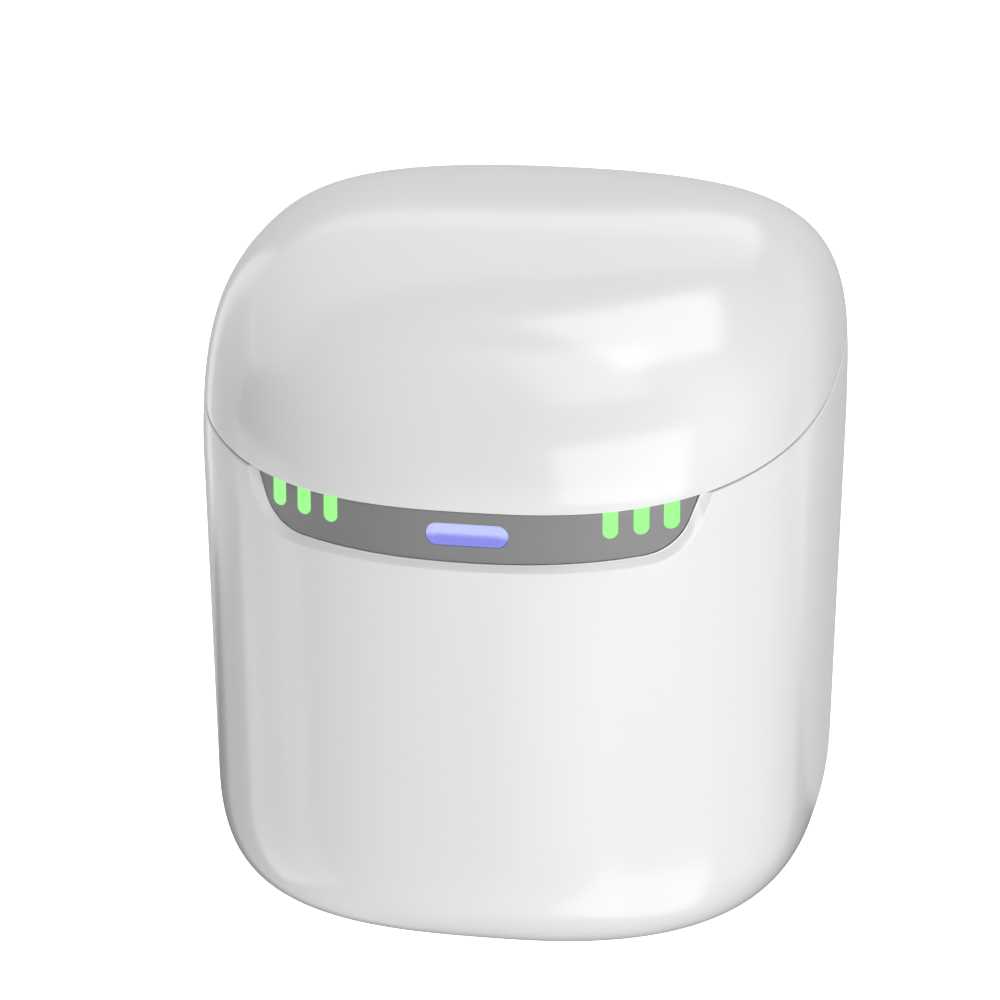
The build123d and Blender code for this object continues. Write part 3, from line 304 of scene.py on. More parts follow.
@dataclass(frozen=True)
class Glow:
    """A lit diffuser whose colour runs from one colour at a low height to another at a higher one. On the start button
    the darker lower half is painted shade, standing in for the shade of its concave finger groove.
    """

    slot: str
    low_colour: Colour
    high_colour: Colour
    low: float
    high: float
    strength: float = 1.0
    body: Colour = (0.05, 0.05, 0.05)

    def material(self) -> bpy.types.Material:
        """The finish as a node material."""
        material, wire, shader = new_material(self.slot)
        place = wire.add("ShaderNodeTexCoord").outputs["Object"]
        height = wire.add("ShaderNodeSeparateXYZ", {0: place}).outputs["Z"]
        # colour run by height: on the start button this paints the shade of the finger groove into the glow
        share = wire.add("ShaderNodeMapRange", {
            "Value": height, "From Min": self.low, "From Max": self.high}, interpolation_type="SMOOTHSTEP")
        drift = wire.math("MULTIPLY", wire.noise(place, 300.0), 0.06)
        blend = wire.add("ShaderNodeMix", {
            0: wire.math("SUBTRACT", share.outputs[0], drift), 6: (*self.low_colour, 1.0),
            7: (*self.high_colour, 1.0)}, data_type="RGBA")
        wire.tree.links.new(blend.outputs[2], shader.inputs["Emission Color"])
        shader.inputs["Emission Strength"].default_value = self.strength
        shader.inputs["Base Color"].default_value = (*self.body, 1.0)
        shader.inputs["Roughness"].default_value = 0.35
        shader.inputs["Specular IOR Level"].default_value = 0.2
        soften(wire, shader, wire.noise(place, 2600.0), 0.002 * MM, 0.0)
        return material


@dataclass(frozen=True)
class Quartz:
    """The clear window over the ultraviolet light."""

    slot: str = "quartz"
    colour: Colour = (0.86, 0.9, 1.0)

    def material(self) -> bpy.types.Material:
        """The finish as a node material."""
        material, wire, shader = new_material(self.slot)
        place = wire.add("ShaderNodeTexCoord").outputs["Object"]
        haze = wire.noise(place, 350.0, 4.0)
        wire.tree.links.new(wire.math("MULTIPLY", haze, 0.12), shader.inputs["Roughness"])
        shader.inputs["Base Color"].default_value = (*self.colour, 1.0)
        shader.inputs["Transmission Weight"].default_value = 1.0
        shader.inputs["IOR"].default_value = 1.46
        return material


@dataclass(frozen=True)
class Board:
    """A circuit board: solder mask over copper tracks, with small plated holes."""

    slot: str = "board_green"
    mask: Colour = (0.012, 0.11, 0.035)
    track: Colour = (0.03, 0.2, 0.06)
    pitch: float = 420.0

    def material(self) -> bpy.types.Material:
        """The finish as a node material."""
        material, wire, shader = new_material(self.slot)
        place = wire.add("ShaderNodeTexCoord").outputs["Object"]
        tracks = wire.add("ShaderNodeTexBrick", {
            "Vector": place, "Scale": self.pitch, "Color1": (*self.mask, 1.0), "Color2": (*self.mask, 1.0),
            "Mortar": (*self.track, 1.0), "Mortar Size": 0.06})
        wire.tree.links.new(tracks.outputs["Color"], shader.inputs["Base Color"])
        shine = wire.math("ADD", 0.25, wire.math("MULTIPLY", wire.noise(place, 120.0), 0.15))
        wire.tree.links.new(shine, shader.inputs["Roughness"])
        soften(wire, shader, tracks.outputs["Fac"], 0.02 * MM, 0.05 * MM)
        return material


@dataclass(frozen=True)
class Foam:
    """Open foam with round cells, with painted shade in the hollows of the cells."""

    slot: str = "filter_foam"
    colour: Colour = (0.03, 0.03, 0.032)
    cells: float = 1400.0

    def material(self) -> bpy.types.Material:
        """The finish as a node material."""
        material, wire, shader = new_material(self.slot)
        place = wire.add("ShaderNodeTexCoord").outputs["Object"]
        cells = wire.add("ShaderNodeTexVoronoi", {"Vector": place, "Scale": self.cells}).outputs["Distance"]
        wall = wire.add("ShaderNodeMapRange", {"Value": cells, "From Max": 0.7}).outputs[0]
        # painted shade: the cell hollows are darkened and the cell walls lightened, standing in for the shade down in
        # the pores
        colour = wire.add("ShaderNodeVectorMath", {
            0: self.colour, "Scale": wire.math("ADD", 0.3, wire.math("MULTIPLY", wall, 2.2))},
            operation="SCALE")
        wire.tree.links.new(colour.outputs[0], shader.inputs["Base Color"])
        shader.inputs["Roughness"].default_value = 0.95
        soften(wire, shader, wall, 0.3 * MM, 0.0)
        return material


BUTTON_MIDDLE = 61.75 * MM
FINISHES = (
    Moulding("white_shell", (0.8, 0.8, 0.8), 0.17, 0.01, 0.03, 900.0, 30.0, 0.0005 * MM, 0.0),
    Moulding("grey_base", (0.42, 0.42, 0.43), 0.45, grain=1800.0, relief=0.01 * MM),
    Moulding("soft_foot", (0.09, 0.09, 0.093), 0.75, 0.15, grain=1500.0, relief=0.02 * MM, sheen=0.1),
    Moulding("deck_grey", (0.055, 0.057, 0.06), 0.42, 0.1, grain=2200.0, relief=0.012 * MM),
    Moulding("soft_cradle", (0.1, 0.104, 0.115), 0.62, 0.12, grain=2600.0, relief=0.01 * MM, sheen=0.15),
    Moulding("mark_blue", (0.01, 0.05, 0.45), 0.3, 0.1),
    Moulding("mark_red", (0.5, 0.008, 0.012), 0.3, 0.1),
    Moulding("led_ceramic", (0.8, 0.77, 0.66), 0.35, 0.15, flow=900.0),
    Moulding("panel_grey", (0.245, 0.245, 0.245), 0.42, 0.06, 0.06, 3000.0, 80.0, 0.006 * MM, 0.05 * MM),
    Moulding("switch_black", (0.012, 0.012, 0.012), 0.4, 0.2, flow=200.0),
    Moulding("ribbon_amber", (0.4, 0.14, 0.02), 0.3, 0.25, flow=160.0, coat=0.5),
    Moulding("frame_black", (0.02, 0.02, 0.022), 0.5, 0.2, relief=0.012 * MM),
    Moulding("ferrite", (0.03, 0.03, 0.032), 0.7, 0.3, flow=300.0),
    Moulding("soft_seal", (0.27, 0.27, 0.28), 0.65, 0.08, grain=2600.0, relief=0.01 * MM, sheen=0.1),
    Metal("steel", (0.62, 0.62, 0.64), 0.25),
    Metal("heater_metal", (0.72, 0.73, 0.75), 0.35),
    Metal("bronze", (0.6, 0.34, 0.12), 0.4),
    Metal("copper", (0.7, 0.3, 0.12), 0.25, 9000.0),
    Metal("magnet", (0.66, 0.66, 0.68), 0.15),
    Metal("liner_silver", (0.7, 0.71, 0.73), 0.36, 1500.0, 0.0, 0.0),
    Glow("light_green", (0.3, 0.9, 0.23), (0.33, 0.98, 0.26), 60.0 * MM, 64.0 * MM),
    # painted shade: the button's glow is darker over its lower half, standing in for the shade in its concave finger
    # groove
    Glow("button_blue", (0.23, 0.25, 0.86), (0.55, 0.61, 1.0), BUTTON_MIDDLE - 0.6 * MM,
         BUTTON_MIDDLE + 0.5 * MM, 0.94),
    Quartz(), Board(), Foam(),
)


# ---------------------------------------------------------------- meshes
def mesh_piece(name: str, points: Array, faces: Sequence[Sequence[int]], material: bpy.types.Material | None,
               sharp: float = 35.0) -> bpy.types.Object:
    """A closed piece from points and faces.

    Args:
        name: the piece's name.
        points: one row of three numbers per point.
        faces: the points of each face.
        material: its finish, or None for a tool.
        sharp: edges that turn more than this many degrees stay crisp.

    Returns:
        The new object, with seams closed and faces outwards.
    """
    mesh = bpy.data.meshes.new(name)
    mesh.from_pydata(points.tolist(), [], [tuple(f) for f in faces])
    shape = bmesh.new()
    shape.from_mesh(mesh)
    bmesh.ops.remove_doubles(shape, verts=shape.verts, dist=0.0015 * MM)
    bmesh.ops.dissolve_degenerate(shape, edges=shape.edges, dist=0.0005 * MM)
    bmesh.ops.recalc_face_normals(shape, faces=shape.faces)
    shape.to_mesh(mesh)
    shape.free()
    piece = bpy.data.objects.new(name, mesh)
    bpy.context.scene.collection.objects.link(piece)
    if material:
        mesh.materials.append(material)
    smooth(mesh, sharp)
    return piece


def smooth(mesh: bpy.types.Mesh, sharp: float = 35.0) -> None:
    """Shades a mesh smooth between its crisp edges."""
    mesh.polygons.foreach_set("use_smooth", [True] * len(mesh.polygons))
    mesh.set_sharp_from_angle(angle=math.radians(sharp))
    mesh.update()


def skin(rows: Sequence[Array], wrap: bool = False) -> tuple[Array, list[tuple[int, ...]]]:
    """Joins closed rows of points into quads.

    Args:
        rows: closed outlines of as many points each.
        wrap: also joins the last row to the first.

    Returns:
        Points and faces. Without wrap, both ends are closed with a fan.
    """
    count, across = len(rows), len(rows[0])
    points = [np.asarray(row, float) for row in rows]
    faces = []
    for row in range(count if wrap else count - 1):
        here, there = row * across, (row + 1) % count * across
        for place in range(across):
            beside = (place + 1) % across
            faces.append((here + place, here + beside, there + beside, there + place))
    if not wrap:
        for end in (0, count - 1):
            hub = count * across + (end > 0)
            points.append(points[end].mean(axis=0, keepdims=True))
            first = end * across
            faces += [(first + p, first + (p + 1) % across, hub) for p in range(across)]
    return np.concatenate(points), faces


def rounded_path(corners: Sequence[Sequence[float]], radii: Sequence[float], steps: int = 5) -> Array:
    """A path of straight stretches with rounded corners, in any number of dimensions.

    Args:
        corners: the corners.
        radii: the radius of each.
        steps: the points of each rounding.

    Returns:
        The points along the path.
    """
    spots = np.asarray(corners, float)
    path = []
    for place, (spot, radius) in enumerate(zip(spots, radii)):
        if radius <= 0 or place in (0, len(spots) - 1):
            path.append(spot)
            continue
        back, ahead = spots[place - 1] - spot, spots[place + 1] - spot
        reach = 0.48 * min(np.linalg.norm(back), np.linalg.norm(ahead))
        back, ahead = back / np.linalg.norm(back), ahead / np.linalg.norm(ahead)
        half = math.acos(max(-1.0, min(1.0, float(back @ ahead)))) / 2
        cut = min(radius / math.tan(half), reach)
        middle = (back + ahead) / np.linalg.norm(back + ahead) * cut / math.cos(half)
        for step in range(steps + 1):
            share = step / steps
            arm = (back * cut - middle) * (1 - share) + (ahead * cut - middle) * share
            path.append(spot + middle + arm / np.linalg.norm(arm) * cut * math.tan(half))
    return np.array(path)


def slot_ring(length: float, width: float, corner: float | None = None, steps: int = 10) -> Array:
    """A rectangle with round corners, long along the first axis, as points in a plane."""
    corner = max(min(width / 2 if corner is None else corner, width / 2), 0.01 * MM)
    ring = []
    for quarter, (across, up) in enumerate(((1, 1), (-1, 1), (-1, -1), (1, -1))):
        for step in range(steps + 1):
            turn = RIGHT_ANGLE * (quarter + step / steps)
            ring.append((across * (length / 2 - corner) + corner * math.cos(turn),
                         up * (width / 2 - corner) + corner * math.sin(turn)))
    return np.array(ring)


def slot_rows(path: Array, place: Callable[[Array, Array, float, float], Array]) -> list[Array]:
    """Rows of slot-shaped outlines.

    Args:
        path: one line each of length, width, sideways shift and height.
        place: puts the outline's two coordinates, the shift and the height into space.

    Returns:
        One closed row of points for each line of the path.
    """
    rows = []
    for length, width, shift, height in path:
        ring = slot_ring(max(length, 0.02 * MM), max(width, 0.02 * MM))
        rows.append(place(ring[:, 0], ring[:, 1], shift, height))
    return rows


def facing_front(x: float, z: float) -> Callable[[Array, Array, float, float], Array]:
    """Places outlines in planes that face the front, around a point."""
    def place(u: Array, v: Array, shift: float, y: float) -> Array:
        """Along X, up Z, at a depth."""
        return np.stack([x + u, np.full_like(u, y), z + shift + v], axis=1)

    return place


def facing_up(x: float, y: float, along_y: bool = True) -> Callable[[Array, Array, float, float], Array]:
    """Places outlines in level planes, around a point."""
    def place(u: Array, v: Array, shift: float, z: float) -> Array:
        """Long along Y, or along X."""
        first, second = (x + shift - v, y + u) if along_y else (x + u, y + shift + v)
        return np.stack([first, second, np.full_like(u, z)], axis=1)

    return place


def turned(name: str, path: Sequence[tuple[float, float]], material: bpy.types.Material | None, y: float,
           z: float, steps: int = 48) -> bpy.types.Object:
    """A round piece on an axis along X, from pairs of X and radius."""
    angle = np.linspace(0, 2 * math.pi, steps, endpoint=False)
    rows = [np.stack([np.full_like(angle, x), y + r * np.cos(angle), z + r * np.sin(angle)], axis=1)
            for x, r in path]
    return mesh_piece(name, *skin(rows), material)


def prism(name: str, outline: Sequence[tuple[float, float]], low: float, high: float) -> bpy.types.Object:
    """An outline in Y and Z, carried along X."""
    rows = [np.array([(x, y, z) for y, z in outline]) for x in (low, high)]
    return mesh_piece(name, *skin(rows), None)


def joined(name: str, pieces: Iterable[bpy.types.Object]) -> bpy.types.Object:
    """Several pieces as one, with the first one's finish."""
    shape = bmesh.new()
    finishes = []
    for piece in pieces:
        finishes = finishes or list(piece.data.materials)
        shape.from_mesh(piece.data)
        bpy.data.objects.remove(piece)
    mesh = bpy.data.meshes.new(name)
    shape.to_mesh(mesh)
    shape.free()
    whole = bpy.data.objects.new(name, mesh)
    bpy.context.scene.collection.objects.link(whole)
    for finish in finishes:
        mesh.materials.append(finish)
    return whole


def settle(piece: bpy.types.Object) -> None:
    """Makes what a piece's modifiers show its own mesh."""
    graph = bpy.context.evaluated_depsgraph_get()
    mesh = bpy.data.meshes.new_from_object(piece.evaluated_get(graph), depsgraph=graph)
    piece.modifiers.clear()
    piece.data = mesh


def work(piece: bpy.types.Object, tool: bpy.types.Object, join: Join) -> None:
    """Cuts a tool solid out of a piece, or welds it on, and removes the tool."""
    change = piece.modifiers.new(join.name, "BOOLEAN")
    change.operation = join.value
    change.solver = "MANIFOLD"
    change.object = tool
    settle(piece)
    bpy.data.objects.remove(tool)


def repeated(piece: bpy.types.Object, material: bpy.types.Material, columns: int, rows: int,
             length: float, width: float, level: Sequence[float]) -> None:
    """Sets copies of a piece on a grid with the geometry tree for that."""
    tree = repeat_on_grid()
    spread = piece.modifiers.new("spread", "NODES")
    spread.node_group = tree
    values = {"Columns": columns, "Rows": rows, "Length": length, "Width": width,
              "Level": tuple(level), "Finish": material}
    for item in tree.interface.items_tree:
        if item.in_out == "INPUT" and item.name in values:
            spread[item.identifier] = values[item.name]
    settle(piece)
    smooth(piece.data)


def finish_piece(piece: bpy.types.Object, body: str, slot: str, *nodes: str) -> bpy.types.Object:
    """Says which body a piece rides on, and hides the nodes that it stands for."""
    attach(piece, body)
    if nodes:
        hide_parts(*nodes)
    return piece


# ---------------------------------------------------------------- the outer form
@dataclass(frozen=True)
class OuterForm:
    """The squared egg that the lid and the body share, with the slanted parting between them."""

    half_width: float = 44.0 * MM
    half_depth: float = 46.0 * MM
    height: float = 95.5 * MM
    crown_flat: float = 0.05 * MM
    plan_power: float = 2.65
    narrowing: float = 1.6 * MM
    base_round_width: float = 14.5 * MM
    base_round_height: float = 18.0 * MM
    base_round_power: float = 2.9
    dome_start: float = 63.0 * MM
    dome_power_x: float = 4.1
    dome_power_y: float = 2.5
    crown_power: float = 1.8
    crown_setback: float = 8.8 * MM
    parting_front: float = 65.0 * MM
    parting_rise: float = 12.56 * MM

    def half_sizes(self, level: Array, inset: Array) -> tuple[Array, Array, Array, Array]:
        """Half width, half depth, middle and plan power at a level, moved in by a wall."""
        rise = np.clip((level - self.dome_start) / (self.height - inset - self.dome_start), 0, 1)
        across = np.maximum(1 - rise**self.dome_power_x, 0) ** (1 / self.dome_power_x)
        along = np.maximum(1 - rise**self.dome_power_y, 0) ** (1 / self.dome_power_y)
        lean = self.narrowing * np.maximum(0, self.parting_front - level) / self.parting_front
        low = np.clip((self.base_round_height - level) / self.base_round_height, 0, 1)
        tuck = self.base_round_width * (1 - (1 - low**self.base_round_power) ** (1 / self.base_round_power))
        shrink = lean + tuck + inset
        power = self.plan_power * across + self.crown_power * (1 - across)
        return ((self.half_width - shrink) * across, (self.half_depth - shrink) * along,
                self.crown_setback * rise**2, power)

    def points(self, turn: Array, level: Array, inset: Array, height: Array | None = None) -> Array:
        """Points of the form.

        Args:
            turn: the angle round the form, from +X through the back.
            level: the level whose plan they lie on.
            inset: the wall that they lie under.
            height: their own height, where it isn't the level.

        Returns:
            Points with a last axis of three.
        """
        half_x, half_y, middle, power = self.half_sizes(level, inset)
        cosine, sine = np.cos(turn), np.sin(turn)
        reach = (np.abs(cosine) ** power + np.abs(sine) ** power) ** (-1 / power)
        z = level if height is None else height
        return np.stack(np.broadcast_arrays(half_x * reach * cosine, middle + half_y * reach * sine, z), axis=-1)

    def front(self, x: Array, level: Array, inset: Array) -> Array:
        """Depth of the front surface at a width and a level."""
        half_x, half_y, middle, power = self.half_sizes(level, inset)
        return middle - half_y * np.maximum(1 - np.abs(x / half_x) ** power, 0) ** (1 / power)

    def parting(self, y: Array, lift: float) -> Array:
        """Height of the parting surface at a depth, lifted square to itself."""
        radius = ((2 * self.half_depth) ** 2 + self.parting_rise**2) / (2 * self.parting_rise)
        centre = self.parting_front + self.parting_rise - radius
        return centre + np.sqrt((radius + lift) ** 2 - (y - self.half_depth) ** 2)

    def rim(self, turn: Array, inset: Array, lift: float) -> Array:
        """Level at which each column of the form meets the parting surface."""
        level = np.full_like(turn, self.parting_front)
        for _ in range(30):
            level = self.parting(self.points(turn, level, inset)[..., 1], lift)
        return level

    def face(self, points: Array, inset: float) -> tuple[Array, Array]:
        """Outward directions and distances of points from the form moved in by a wall."""
        def value(spots: Array) -> Array:
            """Below 1 inside, above 1 outside."""
            half_x, half_y, middle, power = self.half_sizes(spots[:, 2], inset)
            return (np.abs(spots[:, 0]) / np.maximum(half_x, MM)) ** power \
                + (np.abs(spots[:, 1] - middle) / np.maximum(half_y, MM)) ** power

        step = 0.001 * MM
        slopes = [(value(points + way) - value(points - way)) / (2 * step) for way in np.eye(3) * step]
        slope = np.stack(slopes, axis=1)
        size = np.linalg.norm(slope, axis=1, keepdims=True) + 1e-9
        return slope / size, (value(points) - 1) / size[:, 0]


@dataclass(frozen=True)
class CupOutline:
    """The cup-shaped outline on the front: a shallow foot, round corners and leaning sides."""

    foot: float
    foot_radius: float
    half_top: float
    lean: float
    corner: float
    reference: float = 66.65 * MM

    def height(self, x: Array, margin: float = 0.0) -> Array:
        """Height of the outline at each distance from the middle, grown by a margin."""
        lean = math.radians(self.lean)
        side = np.array([math.sin(lean), math.cos(lean)])
        inward = np.array([-math.cos(lean), math.sin(lean)])
        start = np.array([self.half_top + margin / math.cos(lean), self.reference])
        hub = np.array([0.0, self.foot - margin + self.foot_radius])
        seat = start + inward * self.corner - hub
        along = float(seat @ side)
        spare = along**2 - float(seat @ seat) + (self.foot_radius - self.corner) ** 2
        centre = hub + seat + side * (-along - math.sqrt(spare))
        on_side = centre - inward * self.corner
        on_foot = hub + (centre - hub) / np.linalg.norm(centre - hub) * self.foot_radius
        x = np.abs(x)
        foot = hub[1] - np.sqrt(np.maximum(self.foot_radius**2 - x**2, 0))
        corner = centre[1] - np.sqrt(np.maximum(self.corner**2 - (x - centre[0]) ** 2, 0))
        edge = start[1] + (x - start[0]) / math.tan(lean)
        return np.where(x < on_foot[0], foot, np.where(x < on_side[0], corner, edge))


FORM = OuterForm()
PANEL_OUTLINE = CupOutline(57.85 * MM, 191.0 * MM, 29.75 * MM, 20.3, 6.7 * MM)
BEVEL_OUTLINE = CupOutline(56.9 * MM, 240.0 * MM, 31.45 * MM, 16.5, 8.0 * MM)


@dataclass(frozen=True)
class Hinge:
    """The hinge at the back, with one barrel of the lid between two of the body."""

    y: float = 45.387 * MM
    z: float = 77.56 * MM
    radius: float = 2.2 * MM
    bore: float = 1.02 * MM
    lid_half: float = 10.0 * MM
    body_low: float = 10.3 * MM
    body_high: float = 17.3 * MM
    gap: float = 0.3 * MM
    end_round: float = 0.2 * MM

    def barrel(self, low: float, high: float, radius: float, end_round: float) -> bpy.types.Object:
        """A barrel on the hinge's axis."""
        path = rounded_path([(low, 0), (low, radius), (high, radius), (high, 0)],
                            [0, end_round, end_round, 0]) if end_round \
            else [(low, 0), (low, radius), (high, radius), (high, 0)]
        return turned("barrel", path, None, self.y, self.z)

    def bore_tool(self) -> bpy.types.Object:
        """The hole for the pin."""
        reach = self.body_high + MM
        return turned("bore", [(-reach, 0), (-reach, self.bore), (reach, self.bore), (reach, 0)],
                      None, self.y, self.z, 32)


@dataclass
class BodyShell:
    """The white lower shell, its recess, rim, hinge barrels, air slots and charging inlet."""

    finish: bpy.types.Material
    hinge: Hinge
    wall: float = 2.2 * MM
    gap: float = 0.3 * MM
    edge: float = 0.25 * MM
    recess: float = 0.85 * MM
    foot: float = 0.7 * MM
    foot_edge: float = 0.35 * MM
    lip: float = 2.7 * MM
    ledge: float = 5.2 * MM
    rebate: float = 2.6 * MM
    floor: float = 3.7 * MM
    front_half: float = 26.5 * MM
    steep_half: float = 31.8 * MM
    fade: float = 1.0 * MM
    ease: float = 0.16
    usb_level: float = 12.23 * MM
    usb_size: tuple[float, float] = (9.64 * MM, 3.96 * MM)
    usb_recess: tuple[float, float] = (12.14 * MM, 6.46 * MM)
    usb_recess_depth: float = 0.6 * MM
    slots: int = 9
    slot_pitch: float = 3.4 * MM
    slot_size: tuple[float, float] = (13.0 * MM, 1.5 * MM)
    slot_level: float = 31.0 * MM

    def columns(self) -> Array:
        """Turns of the mesh's columns, closest where the recess runs up to the rim."""
        power = FORM.plan_power
        reach = np.concatenate([np.linspace(0, self.front_half, 46)[:-1],
                                np.linspace(self.front_half, self.steep_half, 54)]) / FORM.half_width
        front = np.arctan2(-(1 - reach**power) ** (1 / power), reach)
        right = np.concatenate([front, np.linspace(front[-1], RIGHT_ANGLE, 112)[1:]])
        return np.concatenate([right, (math.pi - right[1:-1])[::-1]])

    def crossing(self, turn: Array, outline: CupOutline, inset: float) -> Array:
        """Level at which each column crosses an outline on the front, or far above it elsewhere."""
        level = np.full_like(turn, FORM.dome_start)
        for _ in range(25):
            x = FORM.points(turn, level, inset)[..., 0]
            level = np.clip(outline.height(x), 50 * MM, 75 * MM)
        return np.where(np.sin(turn) < 0, level, 1.0)

    def eased(self, share: float) -> float:
        """A ramp from 0 to 1 with soft ends."""
        if share < self.ease:
            rise = share**2 / (2 * self.ease)
        elif share > 1 - self.ease:
            rise = 1 - self.ease - (1 - share) ** 2 / (2 * self.ease)
        else:
            rise = share - self.ease / 2
        return rise / (1 - self.ease)

    def rows(self) -> list[Array]:
        """Closed rows from the foot up the outside, over the rim, down the inside and back."""
        turn = self.columns()
        rim = FORM.rim(turn, 0.0, -self.gap / 2)
        low = np.minimum(self.crossing(turn, BEVEL_OUTLINE, 0.0), rim - self.edge)
        inner = self.crossing(turn, PANEL_OUTLINE, self.recess)
        cut = np.clip((rim - low) / np.maximum(inner - low, 1e-9), 0, 1)
        depth = np.maximum(self.recess * cut, self.edge)
        top = np.minimum(inner, FORM.rim(turn, depth, -self.gap / 2))
        open_front = inner < FORM.rim(turn, depth, -self.gap / 2) - 1e-6
        rows = [FORM.points(turn, self.foot, self.foot_edge),
                FORM.points(turn, self.foot + self.foot_edge / 3, self.foot_edge / 6)]
        start = self.foot + self.foot_edge
        for share in np.linspace(0, 1, 26)[:-1]:
            level = start + (FORM.base_round_height - start) * share**1.5
            rows.append(FORM.points(turn, np.full_like(turn, level), 0.0))
        for share in np.linspace(0, 1, 42):
            rows.append(FORM.points(turn, FORM.base_round_height + (low - FORM.base_round_height) * share, 0.0))
        bevelled = np.clip((rim - low - self.edge) / self.fade, 0, 1)
        for share in (0.04, 0.1, 0.18, 0.35, 0.5, 0.65, 0.82, 0.92, 1.0):
            straight, turn_share = self.eased(share), RIGHT_ANGLE * share
            inward = depth * (bevelled * straight + (1 - bevelled) * (1 - math.cos(turn_share)))
            level = low + (top - low) * (bevelled * share + (1 - bevelled) * math.sin(turn_share))
            rows.append(FORM.points(turn, level, inward))
        held_x = rows[-1][:, 0]
        for share in (0.03, 0.5, 0.97, 1.0):
            inset = depth + (self.wall - depth) * share
            rim_row = FORM.points(turn, FORM.rim(turn, inset, -self.gap / 2), inset)
            hole_row = np.stack([held_x, FORM.front(held_x, top, inset), top], axis=1)
            rows.append(np.where(open_front[:, None], hole_row, rim_row))
        inside = rows[-1][:, 2]
        for share in np.linspace(0, 1, 26)[1:]:
            level = self.floor + (inside - self.floor) * (1 - share) ** 1.2
            rows.append(FORM.points(turn, level, self.wall))
        for inset, height in ((self.ledge, self.floor), (self.ledge, self.rebate), (self.lip, self.rebate),
                              (self.lip, self.foot)):
            rows.append(FORM.points(turn, self.foot, inset, height))
        return rows

    def barrels(self) -> bpy.types.Object:
        """The two barrels with the webs that carry them."""
        hinge = self.hinge
        pieces = []
        for side in Side:
            low, high = sorted((side.value * hinge.body_low, side.value * hinge.body_high))
            lean = math.radians(30)
            web = prism("web", [
                (hinge.y - hinge.radius - 2 * self.gap, hinge.z - self.gap / 2),
                (hinge.y, hinge.z - self.gap / 2),
                (hinge.y + hinge.radius * math.cos(lean), hinge.z - hinge.radius * math.sin(lean)),
                (hinge.y, hinge.z - 4 * hinge.radius),
                (hinge.y - hinge.radius / 2, hinge.z - 4 * hinge.radius)], low, high)
            barrel = hinge.barrel(low, high, hinge.radius, hinge.end_round)
            work(barrel, web, Join.WELD)
            pieces.append(barrel)
        return joined("barrels", pieces)

    def tool(self, size: tuple[float, float], level: float, near: float, far: float,
             upright: bool = False) -> bpy.types.Object:
        """A slot-shaped tool along Y."""
        length, width = size
        def place(u: Array, v: Array, shift: float, y: float) -> Array:
            """Across or upright, in a plane that faces the back."""
            first, second = (v, u) if upright else (u, v)
            return np.stack([first, np.full_like(u, y), level + second], axis=1)

        rows = [place(*slot_ring(length, width).T, 0.0, y) for y in (near, far)]
        return mesh_piece("tool", *skin(rows), None)

    def build(self) -> list[bpy.types.Object]:
        """The finished shell."""
        piece = mesh_piece("body_cover", *skin(self.rows(), wrap=True), self.finish, 28.0)
        hinge = self.hinge
        work(piece, self.barrels(), Join.WELD)
        work(piece, hinge.barrel(-hinge.body_low, hinge.body_low, hinge.radius + hinge.gap, 0.0), Join.CUT)
        back = FORM.half_depth
        slots = self.tool(self.slot_size, self.slot_level, back - 3 * self.wall, back + self.wall, True)
        repeated(slots, self.finish, self.slots, 1, self.slot_pitch * (self.slots - 1), 0.0, (0, 0, 0))
        inlet = self.tool(self.usb_size, self.usb_level, back - 2 * self.wall, back + self.wall)
        work(piece, joined("openings", [slots, inlet, hinge.bore_tool()]), Join.CUT)
        face = float(FORM.half_sizes(np.array(self.usb_level), 0.0)[1])
        work(piece, self.tool(self.usb_recess, self.usb_level, face - self.usb_recess_depth,
                              back + self.wall), Join.CUT)
        smooth(piece.data, 28.0)
        return [finish_piece(piece, "base", "white_shell", "body_shell")]


